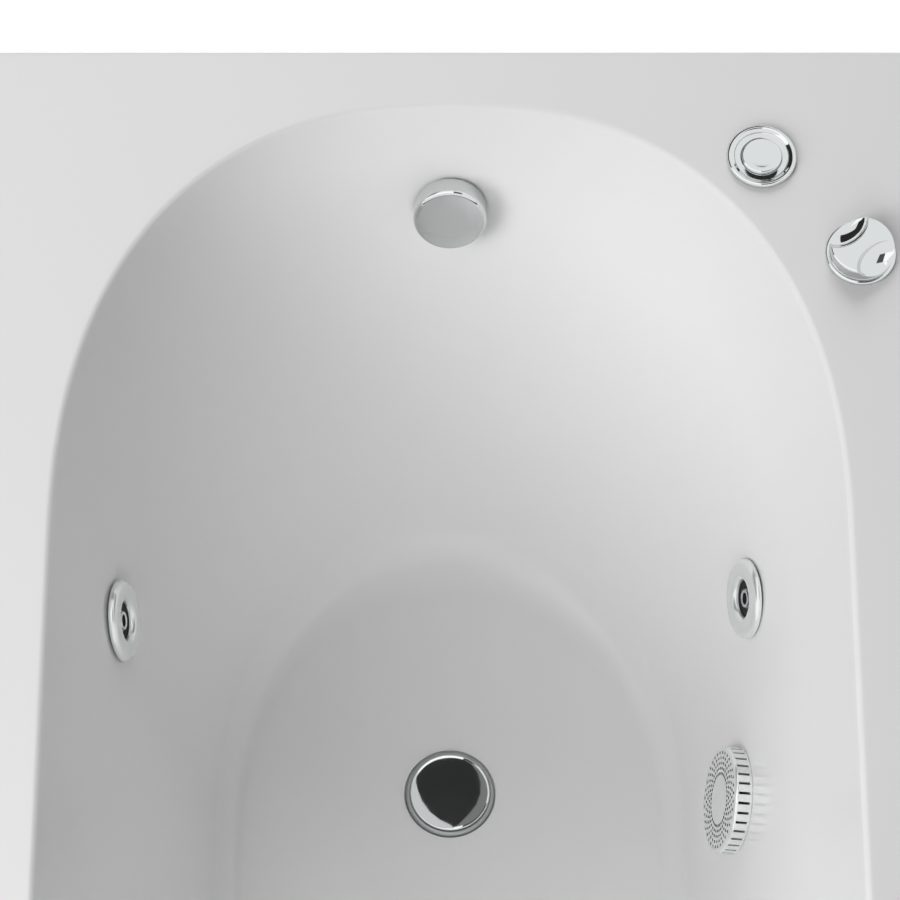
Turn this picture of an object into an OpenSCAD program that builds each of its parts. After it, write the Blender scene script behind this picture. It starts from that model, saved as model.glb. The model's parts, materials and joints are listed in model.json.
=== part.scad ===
// Hydromassage bathtub: a vacuum-formed acrylic shell on a levelling support, with a pop-up waste,
// six directional jets, a suction grille, two deck controls and the pump that feeds them.
// X runs across the bath, Y along it with the waste end at +Y, and Z is up from the floor.

/* [Bath shell] */
// Overall length of the bath
bath_l = 1700; // [1600:10:1900]
// Overall width of the bath
bath_w = 700; // [690:10:800]
// Height of the deck above the floor
deck_h = 580; // [570:5:640]
// Depth of the basin below the deck
basin_d = 410; // [380:5:420]
// Thickness of the acrylic with its bonded backing
shell_t = 6; // [5:0.5:7]
// Height of the skirt that turns down round the deck
skirt_h = 40; // [30:1:60]
// Radius of the deck's corners in plan
corner_r = 12; // [12:1:40]
// Radius of the deck's outer top edge
edge_r = 7.5; // [7.5:0.5:12]

/* [Basin] */
// Width of the deck beside the basin
side_deck = 66; // [60:1:80]
// Width of the deck at the waste end
foot_deck = 46; // [38:1:60]
// Width of the deck at the backrest end
head_deck = 44; // [38:1:60]
// Lean of the side walls from upright, in degrees
side_draft = 14; // [11:0.5:16]
// Lean of the waste end's wall from upright, in degrees
foot_draft = 25; // [20:0.5:28]
// Lean of the backrest from upright, in degrees
head_draft = 36; // [30:0.5:38]
// Radius of the edge where the deck turns into the basin
rim_r = 8; // [8:0.5:14]
// Radius between the side walls and the basin floor
side_fillet = 24; // [16:1:32]
// Radius between the waste end's wall and the basin floor
foot_fillet = 65; // [40:1:80]
// Radius between the backrest and the basin floor
head_fillet = 120; // [80:1:140]
// Distance from the waste end to the rim's straight sides
foot_round_rim = 394; // [350:4:430]
// Distance from the waste end to the floor's straight sides
foot_round_floor = 476; // [440:4:520]
// Distance from the backrest end to the rim's straight sides
head_round_rim = 420; // [380:5:460]
// Distance from the backrest end to the floor's straight sides
head_round_floor = 635; // [600:5:680]
// Squareness of the round ends at the rim, where 2 is an ellipse
rim_power = 2.35; // [2:0.05:2.6]
// Squareness of the round ends at the floor, where 2 is an ellipse
floor_power = 2.1; // [2:0.05:2.4]

/* [Waste and overflow] */
// Distance from the waste end to the waste
waste_y = 448; // [400:2:480]
// Radius of the waste flange
waste_r = 36; // [34:0.5:40]
// Radius of the pop-up plug
plug_r = 31.6; // [29:0.1:32]
// Lift of the pop-up plug
plug_lift = 10; // [6:0.5:12]
// Radius of the hole for the waste
waste_hole_r = 26; // [25:0.5:28]
// Depth of the recess that the waste flange lies in
waste_recess = 2.5; // [1.5:0.25:3]
// Radius of the threaded tail that a trap screws to
outlet_r = 23.9; // [20:0.1:25]
// Length of the threaded tail
outlet_l = 22; // [18:1:26]
// Depth of the overflow's centre below the deck
overflow_d = 86; // [75:1:110]
// Radius of the overflow knob
knob_r = 28; // [26:0.5:32]
// Length of the overflow knob
knob_l = 17; // [14:0.5:22]
// Radius of the overflow knob's front edge
knob_edge = 5; // [3:0.5:6]

/* [Jets] */
// Radius of a jet's face ring
jet_r = 30.5; // [28:0.5:34]
// Distance from the wall to the front of the face ring
jet_front = 7.5; // [7:0.5:12]
// Radius of the ball nozzle
ball_r = 12; // [10.5:0.5:13]
// Bore of the ball nozzle
ball_bore_r = 4.5; // [3.5:0.25:5.5]
// Depth of the right wall's jets below the deck
right_jet_d = 205; // [180:1:230]
// Depth of the left wall's jets below the deck
left_jet_d = 150; // [130:1:200]
// Distance from the waste end to the right wall's first jet
right_jet_y = 361; // [350:1:400]
// Distance from the waste end to the left wall's first jet
left_jet_y = 401; // [360:1:420]
// Distance from the waste end to the middle jets
middle_jet_y = 760; // [700:5:820]
// Distance from the waste end to the last jets
last_jet_y = 1120; // [1060:5:1150]
// Radius of the water hoses
water_hose_r = 12; // [10:0.5:13]
// Radius of the air hoses
air_hose_r = 6; // [5:0.5:7]

/* [Suction] */
// Radius of the suction grille
suction_r = 41; // [38:0.5:45]
// Height of the suction grille above the wall
suction_t = 14; // [11:0.5:16]
// Depth of the suction's centre below the deck
suction_d = 265; // [245:1:280]
// Distance from the waste end to the suction
suction_y = 503; // [480:1:540]
// Radius of the holes in the grille
grille_hole_r = 1.1; // [0.8:0.1:1.3]
// Rings of holes in the grille
grille_rings = 5; // [3:1:6]
// Holes in each ring of the grille
grille_holes = 36; // [24:1:40]
// Slots round the grille's edge
grille_slots = 34; // [24:1:40]
// Width of a slot in the grille's edge
grille_slot_w = 2; // [1.5:0.25:3]
// Radius of the suction hose
suction_hose_r = 22; // [18:0.5:24]

/* [Deck controls] */
// Radius of both controls' bezels
control_r = 26; // [23:0.5:28]
// Distance of the push button from the bath's right side
button_in = 119; // [105:1:122]
// Distance of the push button from the waste end
button_y = 91; // [78:1:98]
// Radius of the push button
button_r = 15; // [12:0.5:16]
// Travel of the push button
button_travel = 3; // [2:0.5:4]
// Distance of the air control from the bath's right side
air_in = 49; // [44:1:56]
// Distance of the air control from the waste end
air_y = 171; // [158:1:178]
// Radius of the air control's knob
air_knob_r = 23.6; // [21:0.1:24]
// Height of the air control's knob
air_knob_h = 12; // [10:0.5:14]
// Width of the grip across the air control's knob
air_grip_w = 17; // [14:0.5:20]

/* [Support] */
// Thickness of the board bonded under the floor
board_t = 18; // [15:1:22]
// Width of the board
board_w = 310; // [260:5:320]
// Side of the square frame tubes
bar_w = 30; // [25:1:32]
// Wall of the square frame tubes
bar_t = 2; // [1.5:0.5:3]
// Distance of the side rails from the bath's sides
rail_in = 28; // [25:1:31]
// Distance from the waste end to the first bar under the board
bar_1_y = 560; // [535:5:620]
// Distance from the backrest end to the second bar under the board
board_bar_in = 500; // [460:5:550]
// Distance from the backrest end to the bar at the pump
pump_bar_in = 270; // [255:5:300]
// Distance from each end of the bath to the frame's end bars
end_bar_y = 55; // [45:1:60]
// Side of the square posts
post_w = 20; // [16:1:22]
// Wall of the posts
post_t = 1.5; // [1:0.25:2.5]
// Width of the timber battens under the deck
batten_w = 30; // [24:1:32]
// Height of the timber battens under the deck
batten_h = 40; // [30:1:50]
// Distance from the waste end to the battens
batten_foot_y = 215; // [210:5:260]
// Distance from the backrest end to the battens
batten_head_y = 115; // [105:5:160]
// Radius of a foot's pad
pad_r = 24; // [20:1:30]
// Height of a foot's pad
pad_h = 22; // [16:1:26]
// Radius of a foot's stud
stud_r = 6; // [5:0.5:8]
// Height that a foot can be screwed up or down
foot_travel = 20; // [10:1:25]

/* [Pump] */
// Radius of the motor's casing
motor_r = 52; // [46:1:58]
// Length of the motor's casing
motor_l = 165; // [140:5:190]
// Cooling ribs round the motor
motor_ribs = 20; // [12:1:28]
// Radius of the pump housing
volute_r = 62; // [58:1:66]
// Width of the pump housing
volute_w = 46; // [40:1:52]
// Radius of the pump's shaft
shaft_r = 7; // [6:0.5:8]
// Blades of the impeller
impeller_blades = 6; // [5:1:8]
// Distance from the backrest end to the pump
pump_in = 168; // [160:1:175]
// Height of the pump's axis above its base plate
pump_h = 66; // [64:1:70]

/* [Hidden] */
$fn = 64;

acrylic = "#E6E6E6";
chrome = "#B9BEC0";
black_rubber = "#26272A";
white_pipe = "#D9DBDC";
grey_plastic = "#8D9296";
zinc_steel = "#9FA3A6";
timber = "#C9A878";
motor_paint = "#3E4A57";
pump_plastic = "#2B2F33";

running_gap = 0.08;
clear_gap = 0.3;
cut = 1;

half_l = bath_l / 2;
half_w = bath_w / 2;
half_rim = half_w - side_deck;
button_x = half_w - button_in;
air_x = half_w - air_in;
rail_x = half_w - rail_in;
bar_2_y = bath_l - board_bar_in;
bar_3_y = bath_l - pump_bar_in;
pump_y = bath_l - pump_in;
floor_z = deck_h - basin_d;
under_z = floor_z - shell_t;
board_z = under_z - board_t;
bar_z = board_z - bar_w;

function from_foot(d) = half_l - d;
function unit(v) = v / norm(v);
function lerp(a, b, k) = a + (b - a) * k;

// Basin loft: three wall profiles, at the side, the waste end and the backrest, swept round the plan.
// A profile point is [distance in from the rim line, depth below the deck].
quarter_steps = 14;
end_steps = 5;
corner_steps = 4;
rim_steps = 4;
fillet_steps = 6;
edge_steps = 3;

function rim_point(draft, k, off) =
    let (turn = (90 - draft) * k / rim_steps, reach = rim_r * tan((90 - draft) / 2))
    [(rim_r - off) * sin(turn) - reach, rim_r - (rim_r - off) * cos(turn)];
function fillet_point(draft, r, k, off) =
    let (turn = draft + (90 - draft) * k / fillet_steps, reach = r * tan((90 - draft) / 2))
    [basin_d * tan(draft) + reach - (r + off) * cos(turn), basin_d - r + (r + off) * sin(turn)];

// A station is [side, foot, head, foot tangent, head tangent, power].
function rim_station(k, off) = [
    rim_point(side_draft, k, off), rim_point(foot_draft, k, off), rim_point(head_draft, k, off),
    from_foot(foot_round_rim), head_round_rim - half_l, rim_power
];
function fillet_station(k, off) = [
    fillet_point(side_draft, side_fillet, k, off), fillet_point(foot_draft, foot_fillet, k, off),
    fillet_point(head_draft, head_fillet, k, off),
    from_foot(foot_round_floor), head_round_floor - half_l, floor_power
];

// Point of a station at the turn angle, from 0 at the end's middle to 90 at the side
function basin_point(s, turn, end, side) =
    let (
        p = end > 0 ? s[1] : s[2],
        tangent = end > 0 ? s[3] : s[4],
        apex = end > 0 ? half_l - foot_deck - p[0] : head_deck - half_l + p[0],
        across = pow(sin(turn), 2 / s[5]),
        along = pow(cos(turn), 2 / s[5])
    )
    [
        side * (half_rim - s[0][0]) * across,
        tangent + (apex - tangent) * along,
        deck_h - lerp(s[0][1], p[1], pow(cos(turn), 2))
    ];
function basin_ring(s) = concat(
    [for (i = [quarter_steps:-1:0]) basin_point(s, 90 * i / quarter_steps, 1, 1)],
    [for (i = [1:quarter_steps]) basin_point(s, 90 * i / quarter_steps, 1, -1)],
    [for (i = [quarter_steps:-1:0]) basin_point(s, 90 * i / quarter_steps, -1, -1)],
    [for (i = [1:quarter_steps]) basin_point(s, 90 * i / quarter_steps, -1, 1)]
);

// Rounded rectangle with as many points as a basin ring, set in from the bath's outline
function outline_point(i, in, z, end, side) =
    let (
        w = half_w - in, l = half_l - in, r = corner_r - in,
        tangent = end > 0 ? from_foot(foot_round_rim) : half_l - head_round_rim,
        turned = i - end_steps, left = quarter_steps - end_steps - corner_steps,
        p = i <= end_steps ? [(w - r) * i / end_steps, l]
            : turned <= corner_steps ? [w - r + r * sin(90 * turned / corner_steps),
                l - r + r * cos(90 * turned / corner_steps)]
            : [w, lerp(l - r, tangent, (turned - corner_steps) / left)]
    )
    [side * p[0], end * p[1], z];
function outline_ring(in, z) = concat(
    [for (i = [quarter_steps:-1:0]) outline_point(i, in, z, 1, 1)],
    [for (i = [1:quarter_steps]) outline_point(i, in, z, 1, -1)],
    [for (i = [quarter_steps:-1:0]) outline_point(i, in, z, -1, -1)],
    [for (i = [1:quarter_steps]) outline_point(i, in, z, -1, 1)]
);
function edge_ring(k, off) =
    let (turn = 90 * k / edge_steps)
    outline_ring(edge_r - (edge_r - off) * sin(turn), deck_h - edge_r + (edge_r - off) * cos(turn));

shell_rings = concat(
    [for (k = [fillet_steps:-1:0]) basin_ring(fillet_station(k, 0))],
    [for (k = [rim_steps:-1:0]) basin_ring(rim_station(k, 0))],
    [for (k = [0:edge_steps]) edge_ring(k, 0)],
    [outline_ring(0, deck_h - skirt_h), outline_ring(shell_t, deck_h - skirt_h)],
    [for (k = [edge_steps:-1:0]) edge_ring(k, shell_t)],
    [for (k = [0:rim_steps]) basin_ring(rim_station(k, shell_t))],
    [for (k = [0:fillet_steps]) basin_ring(fillet_station(k, shell_t))]
);

// Closed skin through rings of points, with a flat face over the first and the last
module skin(rings) {
    n = len(rings[0]);
    last = len(rings) - 1;
    points = [for (ring = rings) each ring];
    sides = [
        for (r = [0:last - 1], i = [0:n - 1])
            let (a = r * n + i, b = r * n + (i + 1) % n, c = b + n, d = a + n)
            each [[a, b, c], [a, c, d]]
    ];
    first_cap = [for (i = [n - 1:-1:0]) i];
    last_cap = [for (i = [0:n - 1]) last * n + i];
    polyhedron(points = points, faces = concat(sides, [first_cap, last_cap]), convexity = 8);
}

// Point of the basin wall at a turn angle and a depth, between the rim and the floor's round
function wall_point(turn, d, end, side) =
    let (
        top = basin_point(rim_station(rim_steps, 0), turn, end, side),
        low = basin_point(fillet_station(0, 0), turn, end, side)
    )
    lerp(top, low, (top[2] - deck_h + d) / (top[2] - low[2]));
function turn_at(y, d, low, high, tries) =
    let (mid = (low + high) / 2)
    tries == 0 ? mid
    : wall_point(mid, d, 1, 1)[1] > y ? turn_at(y, d, mid, high, tries - 1)
    : turn_at(y, d, low, mid, tries - 1);
function side_wall_x(d) = half_rim - d * tan(side_draft);

// A seat is [point, outward direction along the wall, direction up the wall, direction into the basin].
function seat(p, n) = let (u = unit(cross([0, 0, 1], n))) [p, u, cross(n, u), n];
function side_seat(side, y, d) =
    let (
        flat_from = wall_point(90, d, 1, 1)[1],
        turn = y > flat_from ? turn_at(y, d, 0, 90, 24) : 90,
        p = wall_point(turn, d, 1, 1),
        along = y > flat_from ? wall_point(turn + 1, d, 1, 1) - wall_point(turn - 1, d, 1, 1)
            : [0, -1, 0],
        down = wall_point(turn, d + 1, 1, 1) - wall_point(turn, d - 1, 1, 1),
        n = unit(cross(along, down)),
        inward = n[0] > 0 ? -n : n,
        here = y > flat_from ? p : [side_wall_x(d), y, deck_h - d]
    )
    seat([side * here[0], here[1], here[2]], [side * inward[0], inward[1], inward[2]]);
function sunk(s, depth) = [s[0] - s[3] * depth, s[1], s[2], s[3]];
function place(s, p) = s[0] + s[1] * p[0] + s[2] * p[1] + s[3] * p[2];
module at(s) {
    multmatrix([for (i = [0:2]) [s[1][i], s[2][i], s[3][i], s[0][i]]]) children();
}

seat_cut = 1;
wall_left = shell_t - 2 * seat_cut;
jets = [for (j = [
    [1, right_jet_y, right_jet_d], [1, middle_jet_y, right_jet_d], [1, last_jet_y, right_jet_d],
    [-1, left_jet_y, left_jet_d], [-1, middle_jet_y, left_jet_d], [-1, last_jet_y, left_jet_d]
]) sunk(side_seat(j[0], from_foot(j[1]), j[2]), seat_cut)];
suction_seat = sunk(side_seat(1, from_foot(suction_y), suction_d), seat_cut);
overflow_seat = let (p = wall_point(0, overflow_d, 1, 1))
    sunk(seat(p, [0, -cos(foot_draft), sin(foot_draft)]), seat_cut);
button_seat = [[button_x, from_foot(button_y), deck_h], [1, 0, 0], [0, 1, 0], [0, 0, 1]];
air_seat = [[air_x, from_foot(air_y), deck_h], [1, 0, 0], [0, 1, 0], [0, 0, 1]];
waste_seat = [[0, from_foot(waste_y), floor_z - waste_recess], [1, 0, 0], [0, 1, 0], [0, 0, 1]];

// Hole through a wall with a flat seat on both of its faces
module seated_hole(hole_r, front_r, back_r) {
    deep = 30;
    translate([0, 0, -deep]) cylinder(r = hole_r, h = 2 * deep);
    cylinder(r = front_r + seat_margin, h = deep);
    translate([0, 0, -wall_left - deep]) cylinder(r = back_r + seat_margin, h = deep);
}

jet_hole_r = 20;
jet_flange_r = jet_r - 2.8;
jet_back_r = jet_hole_r + 6;
suction_hole_r = 27;
suction_flange_r = suction_r - 3;
suction_back_r = suction_hole_r + 8;
overflow_hole_r = 20;
overflow_flange_r = knob_r - 3;
overflow_back_r = overflow_hole_r + 7;
control_hole_r = 18;
seat_margin = 0.8;
back_face = -wall_left;
gasket_t = 1.5;
thread_gap = 0.15;

module ring(outer, inner, low, high) {
    rotate_extrude() polygon([[inner, low], [outer, low], [outer, high], [inner, high]]);
}

// Shell
module bath_shell() {
    color(acrylic)
    difference() {
        skin(shell_rings);
        for (j = jets) at(j) seated_hole(jet_hole_r, jet_flange_r, jet_back_r);
        at(suction_seat) seated_hole(suction_hole_r, suction_flange_r, suction_back_r);
        at(overflow_seat) seated_hole(overflow_hole_r, overflow_flange_r, overflow_back_r);
        for (s = [button_seat, air_seat]) at(s) translate([0, 0, -shell_t - cut])
            cylinder(r = control_hole_r, h = shell_t + 2 * cut);
        at(waste_seat) {
            cylinder(r = waste_r + seat_margin, h = waste_recess + cut);
            translate([0, 0, -shell_t - cut]) cylinder(r = waste_hole_r, h = shell_t + 2 * cut);
        }
    }
}

// Waste: a flange clamps the shell against the body below, and a domed plug lifts in a guide.
waste_gasket_t = 2;
waste_top = waste_recess;
waste_under = waste_recess - shell_t;
waste_barrel_r = waste_hole_r - 1.5;
waste_bore_r = waste_barrel_r - 3;
waste_body_r = waste_hole_r + 5;
waste_collar_r = waste_body_r + 8;
waste_barrel_l = 26;
waste_inlet_l = waste_body_r + 24;
waste_ribs = 6;
waste_rib_w = 4;
waste_inlet_z = -40;
waste_inlet_r = 13;
waste_bottom = -60;
stem_r = 3;
stem_l = 36 + plug_lift;
guide_r = 6;
guide_low = -16;
guide_h = 12;
spoke_w = 3;
spoke_low = -14;
spoke_h = 8;
plug_under = waste_top + 0.6;
plug_dome = 5;
plug_edge = 1.6;
pipe_r = 15;
module waste_flange() {
    color(chrome) at(waste_seat) {
        rotate_extrude() polygon([
            [waste_bore_r, -waste_barrel_l], [waste_barrel_r, -waste_barrel_l],
            [waste_barrel_r, 0], [waste_r - 0.8, 0], [waste_r, 0.8], [waste_r, waste_top - 1.2],
            [waste_r - 1.2, waste_top], [plug_r + 0.4, waste_top], [plug_r - 2, waste_top - 1],
            [waste_bore_r + 2.5, waste_top - 1], [waste_bore_r, waste_top - 3.5]
        ]);
        difference() {
            union() {
                translate([0, 0, guide_low]) cylinder(r = guide_r, h = guide_h);
                for (i = [0:2]) rotate(120 * i) translate([guide_r - 1, -spoke_w / 2, spoke_low])
                    cube([waste_bore_r - guide_r + 1.5, spoke_w, spoke_h]);
            }
            translate([0, 0, guide_low - cut])
                cylinder(r = stem_r + running_gap, h = guide_h + 2 * cut);
        }
    }
}
module waste_gasket() {
    color(black_rubber) at(waste_seat)
        ring(waste_collar_r - 1, waste_hole_r, waste_under - waste_gasket_t, waste_under);
}
module waste_body() {
    collar_top = waste_under - waste_gasket_t;
    color(grey_plastic) at(waste_seat) difference() {
        union() {
            rotate_extrude() polygon([
                [0, waste_bottom - outlet_l], [outlet_r, waste_bottom - outlet_l],
                [outlet_r, waste_bottom], [waste_body_r - 3, waste_bottom],
                [waste_body_r, waste_bottom + 6], [waste_body_r, collar_top - 5],
                [waste_collar_r, collar_top - 4], [waste_collar_r, collar_top], [0, collar_top]
            ]);
            translate([0, 0, waste_inlet_z]) rotate([-90, 0, 0])
                cylinder(r = waste_inlet_r, h = waste_inlet_l);
            translate([cable_x, 0, waste_inlet_z]) rotate([-90, 0, 0])
                cylinder(r = cable_boss_r, h = waste_body_r + 8);
            for (i = [0:waste_ribs - 1]) rotate(360 * i / waste_ribs)
                translate([waste_body_r - 1, -waste_rib_w / 2, waste_bottom + 8])
                    cube([5, waste_rib_w, collar_top - waste_bottom - 12]);
        }
        translate([0, 0, -waste_barrel_l - 1])
            cylinder(r = waste_barrel_r + thread_gap, h = waste_barrel_l + 1);
        translate([0, 0, waste_bottom - outlet_l - cut])
            cylinder(r = outlet_r - 3, h = -waste_bottom + outlet_l);
        translate([0, 0, waste_inlet_z]) rotate([-90, 0, 0])
            cylinder(r = waste_inlet_r - 2, h = waste_inlet_l + cut);
    }
}
module waste_plug() {
    color(chrome) at(waste_seat) {
        rotate_extrude() polygon(concat(
            [[0, plug_under], [plug_r - 1, plug_under], [plug_r, plug_under + 0.8]],
            [for (k = [0:10]) let (a = 90 * k / 10)
                [plug_r * cos(a), plug_under + plug_edge + plug_dome * sin(a)]]
        ));
        translate([0, 0, -stem_l]) cylinder(r = stem_r, h = stem_l + plug_under + 1);
    }
}
module plug_seal() {
    seal_r = waste_bore_r + 3.5;
    seal_w = 3;
    color(black_rubber) at(waste_seat)
        ring(seal_r + seal_w / 2, seal_r - seal_w / 2, waste_top - 0.9, plug_under);
}

// Overflow: the rose clamps the body behind the wall, and the knob turns in the rose's hub.
overflow_gasket_t = 2;
overflow_body_l = 30;
overflow_axis = back_face - overflow_gasket_t - overflow_body_l / 2 - 1;
spindle_r = 4;
hub_r = 7.5;
hub_low = -16;
hub_h = 14;
rose_l = 20;
rose_t = 2;
stop_r = 10;
stop_t = 4;
knob_wall = 2.5;
knob_back = seat_cut + 2.5;
knob_front = knob_back + knob_l;
spigot_l = 52;
cable_x = 22;
cable_boss_r = 5;
cable_boss_l = 34;
module overflow_rose() {
    barrel_r = overflow_hole_r - 0.5;
    bore_r = barrel_r - 2.5;
    color(chrome) at(overflow_seat) {
        difference() {
            union() {
                rotate_extrude() polygon([
                    [bore_r, -rose_l], [barrel_r, -rose_l], [barrel_r, 0],
                    [overflow_flange_r, 0], [overflow_flange_r, rose_t - 0.8],
                    [overflow_flange_r - 1, rose_t], [bore_r, rose_t]
                ]);
                translate([0, 0, hub_low]) cylinder(r = hub_r, h = hub_h);
                for (i = [0:2]) rotate(120 * i + 30)
                    translate([hub_r - 1, -spoke_w / 2, hub_low + 2])
                        cube([bore_r + 1.5 - hub_r, spoke_w, hub_h - 4]);
            }
            translate([0, 0, hub_low - cut])
                cylinder(r = spindle_r + running_gap, h = hub_h + 2 * cut);
        }
    }
}
module overflow_gasket() {
    color(black_rubber) at(overflow_seat)
        ring(overflow_back_r, overflow_hole_r, back_face - overflow_gasket_t, back_face);
}
module overflow_body() {
    front = back_face - overflow_gasket_t;
    color(grey_plastic) at(overflow_seat) difference() {
        union() {
            translate([0, 0, front - overflow_body_l])
                cylinder(r = overflow_back_r - 1.5, h = overflow_body_l);
            translate([0, 0, front - 4]) cylinder(r = overflow_back_r, h = 4);
            translate([0, 0, overflow_axis]) rotate([90, 0, 0])
                cylinder(r = waste_inlet_r, h = spigot_l);
            translate([cable_x, 0, overflow_axis]) rotate([90, 0, 0])
                cylinder(r = cable_boss_r, h = cable_boss_l);
        }
        translate([0, 0, front - overflow_body_l + 3])
            cylinder(r = overflow_hole_r - 0.5 + thread_gap, h = overflow_body_l);
        translate([0, 0, overflow_axis]) rotate([90, 0, 0])
            cylinder(r = waste_inlet_r - 2, h = spigot_l + cut);
    }
}
module overflow_knob() {
    color(chrome) at(overflow_seat) {
        rotate_extrude() polygon(concat(
            [[0, knob_front - knob_wall], [knob_r - knob_edge, knob_front - knob_wall],
                [knob_r - knob_wall, knob_front - knob_edge], [knob_r - knob_wall, knob_back],
                [knob_r - 0.6, knob_back], [knob_r, knob_back + 0.6]],
            [for (k = [0:6]) let (a = 90 * k / 6)
                [knob_r - knob_edge + knob_edge * cos(a),
                    knob_front - knob_edge + knob_edge * sin(a)]],
            [[0, knob_front]]
        ));
        translate([0, 0, -rose_l - 1]) cylinder(r = spindle_r, h = knob_front + rose_l);
        translate([0, 0, -rose_l - 1 - stop_t]) cylinder(r = stop_r, h = stop_t);
    }
}

// Deck controls
bezel_t = 3;
bezel_rim_h = 4.2;
bezel_rim_w = 4.5;
bezel_dish = 2;
control_barrel_r = control_hole_r - 0.5;
control_nut_t = 7;
button_bore_r = button_r + running_gap;
button_top = 4.4;
button_edge = 1.6;
button_skirt = 9;
button_depth = 27 + button_travel;
bellows_r = button_r - 1;
bellows_folds = 4;
fold_in = 2.6;
tube_r = 3;
tube_bore_r = 2;
tube_barb_l = 12;
module bezel_profile(inner, low) {
    rotate_extrude() polygon([
        [inner, low], [control_barrel_r, low], [control_barrel_r, 0], [control_r, 0],
        [control_r, bezel_t - 1.6], [control_r - 0.6, bezel_t - 0.6], [control_r - 2, bezel_t],
        [inner + 1, bezel_t], [inner, bezel_t - 1]
    ]);
}
module button_bezel() {
    color(chrome) at(button_seat) {
        rim_in = control_r - bezel_rim_w;
        rotate_extrude() polygon([
            [button_bore_r, -button_depth + 2], [control_barrel_r, -button_depth + 2],
            [control_barrel_r, 0], [control_r, 0], [control_r, bezel_rim_h - 1.7],
            [control_r - 0.5, bezel_rim_h - 0.7], [control_r - 1.4, bezel_rim_h - 0.1],
            [control_r - 2.3, bezel_rim_h], [rim_in + 0.8, bezel_rim_h - 0.6],
            [rim_in, bezel_rim_h - 1.7], [rim_in - 0.6, bezel_dish], [button_bore_r + 0.8, bezel_dish],
            [button_bore_r, bezel_dish - 0.8]
        ]);
        difference() {
            union() {
                translate([0, 0, -button_depth]) cylinder(r = control_barrel_r, h = 2);
                translate([0, 0, -button_depth - tube_barb_l])
                    cylinder(r = tube_bore_r, h = tube_barb_l);
            }
            translate([0, 0, -button_depth - tube_barb_l - cut])
                cylinder(r = tube_bore_r / 2, h = tube_barb_l + 2 + 2 * cut);
        }
    }
}
module push_button() {
    color(chrome) at(button_seat) rotate_extrude() polygon(concat(
        [[0, -2], [button_r - 2, -2], [button_r - 2, -button_skirt], [button_r, -button_skirt]],
        [for (k = [0:5]) let (a = 90 * k / 5)
            [button_r - button_edge + button_edge * cos(a), button_top - button_edge + button_edge * sin(a)]],
        [[button_r - 5, button_top - 0.3], [0, button_top - 0.8]]
    ));
}
module button_bellows() {
    n = 2 * bellows_folds;
    fold = (button_depth - 2 - button_skirt) / n;
    wall = 1.2;
    color(black_rubber) at(button_seat) translate([0, 0, -button_depth + 2])
        rotate_extrude() polygon(concat(
            [for (k = [0:n]) [bellows_r - 0.4 - (k % 2) * fold_in, fold * k]],
            [for (k = [n:-1:0]) [bellows_r - 0.4 - (k % 2) * fold_in - wall, fold * k]]
        ));
}
module air_bezel() {
    color(chrome) at(air_seat) bezel_profile(control_barrel_r - 3, -air_barrel_l);
}
air_spindle_r = 5;
air_spindle_l = 22;
air_barrel_l = 14;
air_spigot_l = 16;
air_grip_turn = 42;
scoop_r = 11;
scoop_floor = 3;
air_barrel_r = control_barrel_r - 3 - thread_gap;
air_valve_l = 46;
air_spigot_z = -38;
air_spigot_r = air_hose_r - 2;
module air_valve() {
    color(grey_plastic) at(air_seat) difference() {
        union() {
            translate([0, 0, -air_barrel_l]) cylinder(r = air_barrel_r, h = air_barrel_l + 2);
            translate([0, 0, -air_valve_l])
                cylinder(r = control_barrel_r, h = air_valve_l - air_barrel_l);
            translate([0, 0, air_spigot_z]) rotate([-90, 0, 0])
                cylinder(r = air_spigot_r, h = control_barrel_r + air_spigot_l);
            translate([0, 0, -air_valve_l - air_spigot_l])
                cylinder(r = air_spigot_r, h = air_spigot_l + 2);
        }
        translate([0, 0, -air_spindle_l - 2])
            cylinder(r = air_spindle_r + running_gap, h = air_spindle_l + 8);
        translate([0, 0, -air_valve_l - air_spigot_l - cut])
            cylinder(r = air_spigot_r - 1.5, h = air_valve_l + air_spigot_l - air_spindle_l - 6);
        translate([0, 0, air_spigot_z]) rotate([-90, 0, 0])
            cylinder(r = air_spigot_r - 1.5, h = control_barrel_r + air_spigot_l + cut);
    }
}
// The knob's grip is what stays between two finger scoops cut from its face.
module air_knob() {
    low = bezel_t + 0.6;
    color(chrome) at(air_seat) {
        difference() {
            rotate_extrude() polygon([
                [0, low], [air_knob_r - 0.6, low], [air_knob_r, low + 0.6],
                [air_knob_r, low + air_knob_h - 2], [air_knob_r - 0.7, low + air_knob_h - 0.6],
                [air_knob_r - 2.2, low + air_knob_h], [0, low + air_knob_h]
            ]);
            for (side = [0, 180]) rotate(air_grip_turn + side)
                translate([0, air_grip_w / 2 + scoop_r, low + scoop_floor + scoop_r]) {
                    sphere(r = scoop_r);
                    rotate([-90, 0, 0]) cylinder(r = scoop_r, h = air_knob_r);
                }
        }
        translate([0, 0, -air_spindle_l]) cylinder(r = air_spindle_r, h = air_spindle_l + low + 1);
    }
}
module control_nuts() {
    color(grey_plastic) for (s = [button_seat, air_seat]) at(s) difference() {
        translate([0, 0, -shell_t - control_nut_t])
            cylinder(r = control_r, h = control_nut_t, $fn = 12);
        translate([0, 0, -shell_t - control_nut_t - cut])
            cylinder(r = control_barrel_r + thread_gap, h = control_nut_t + 2 * cut);
    }
}

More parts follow.
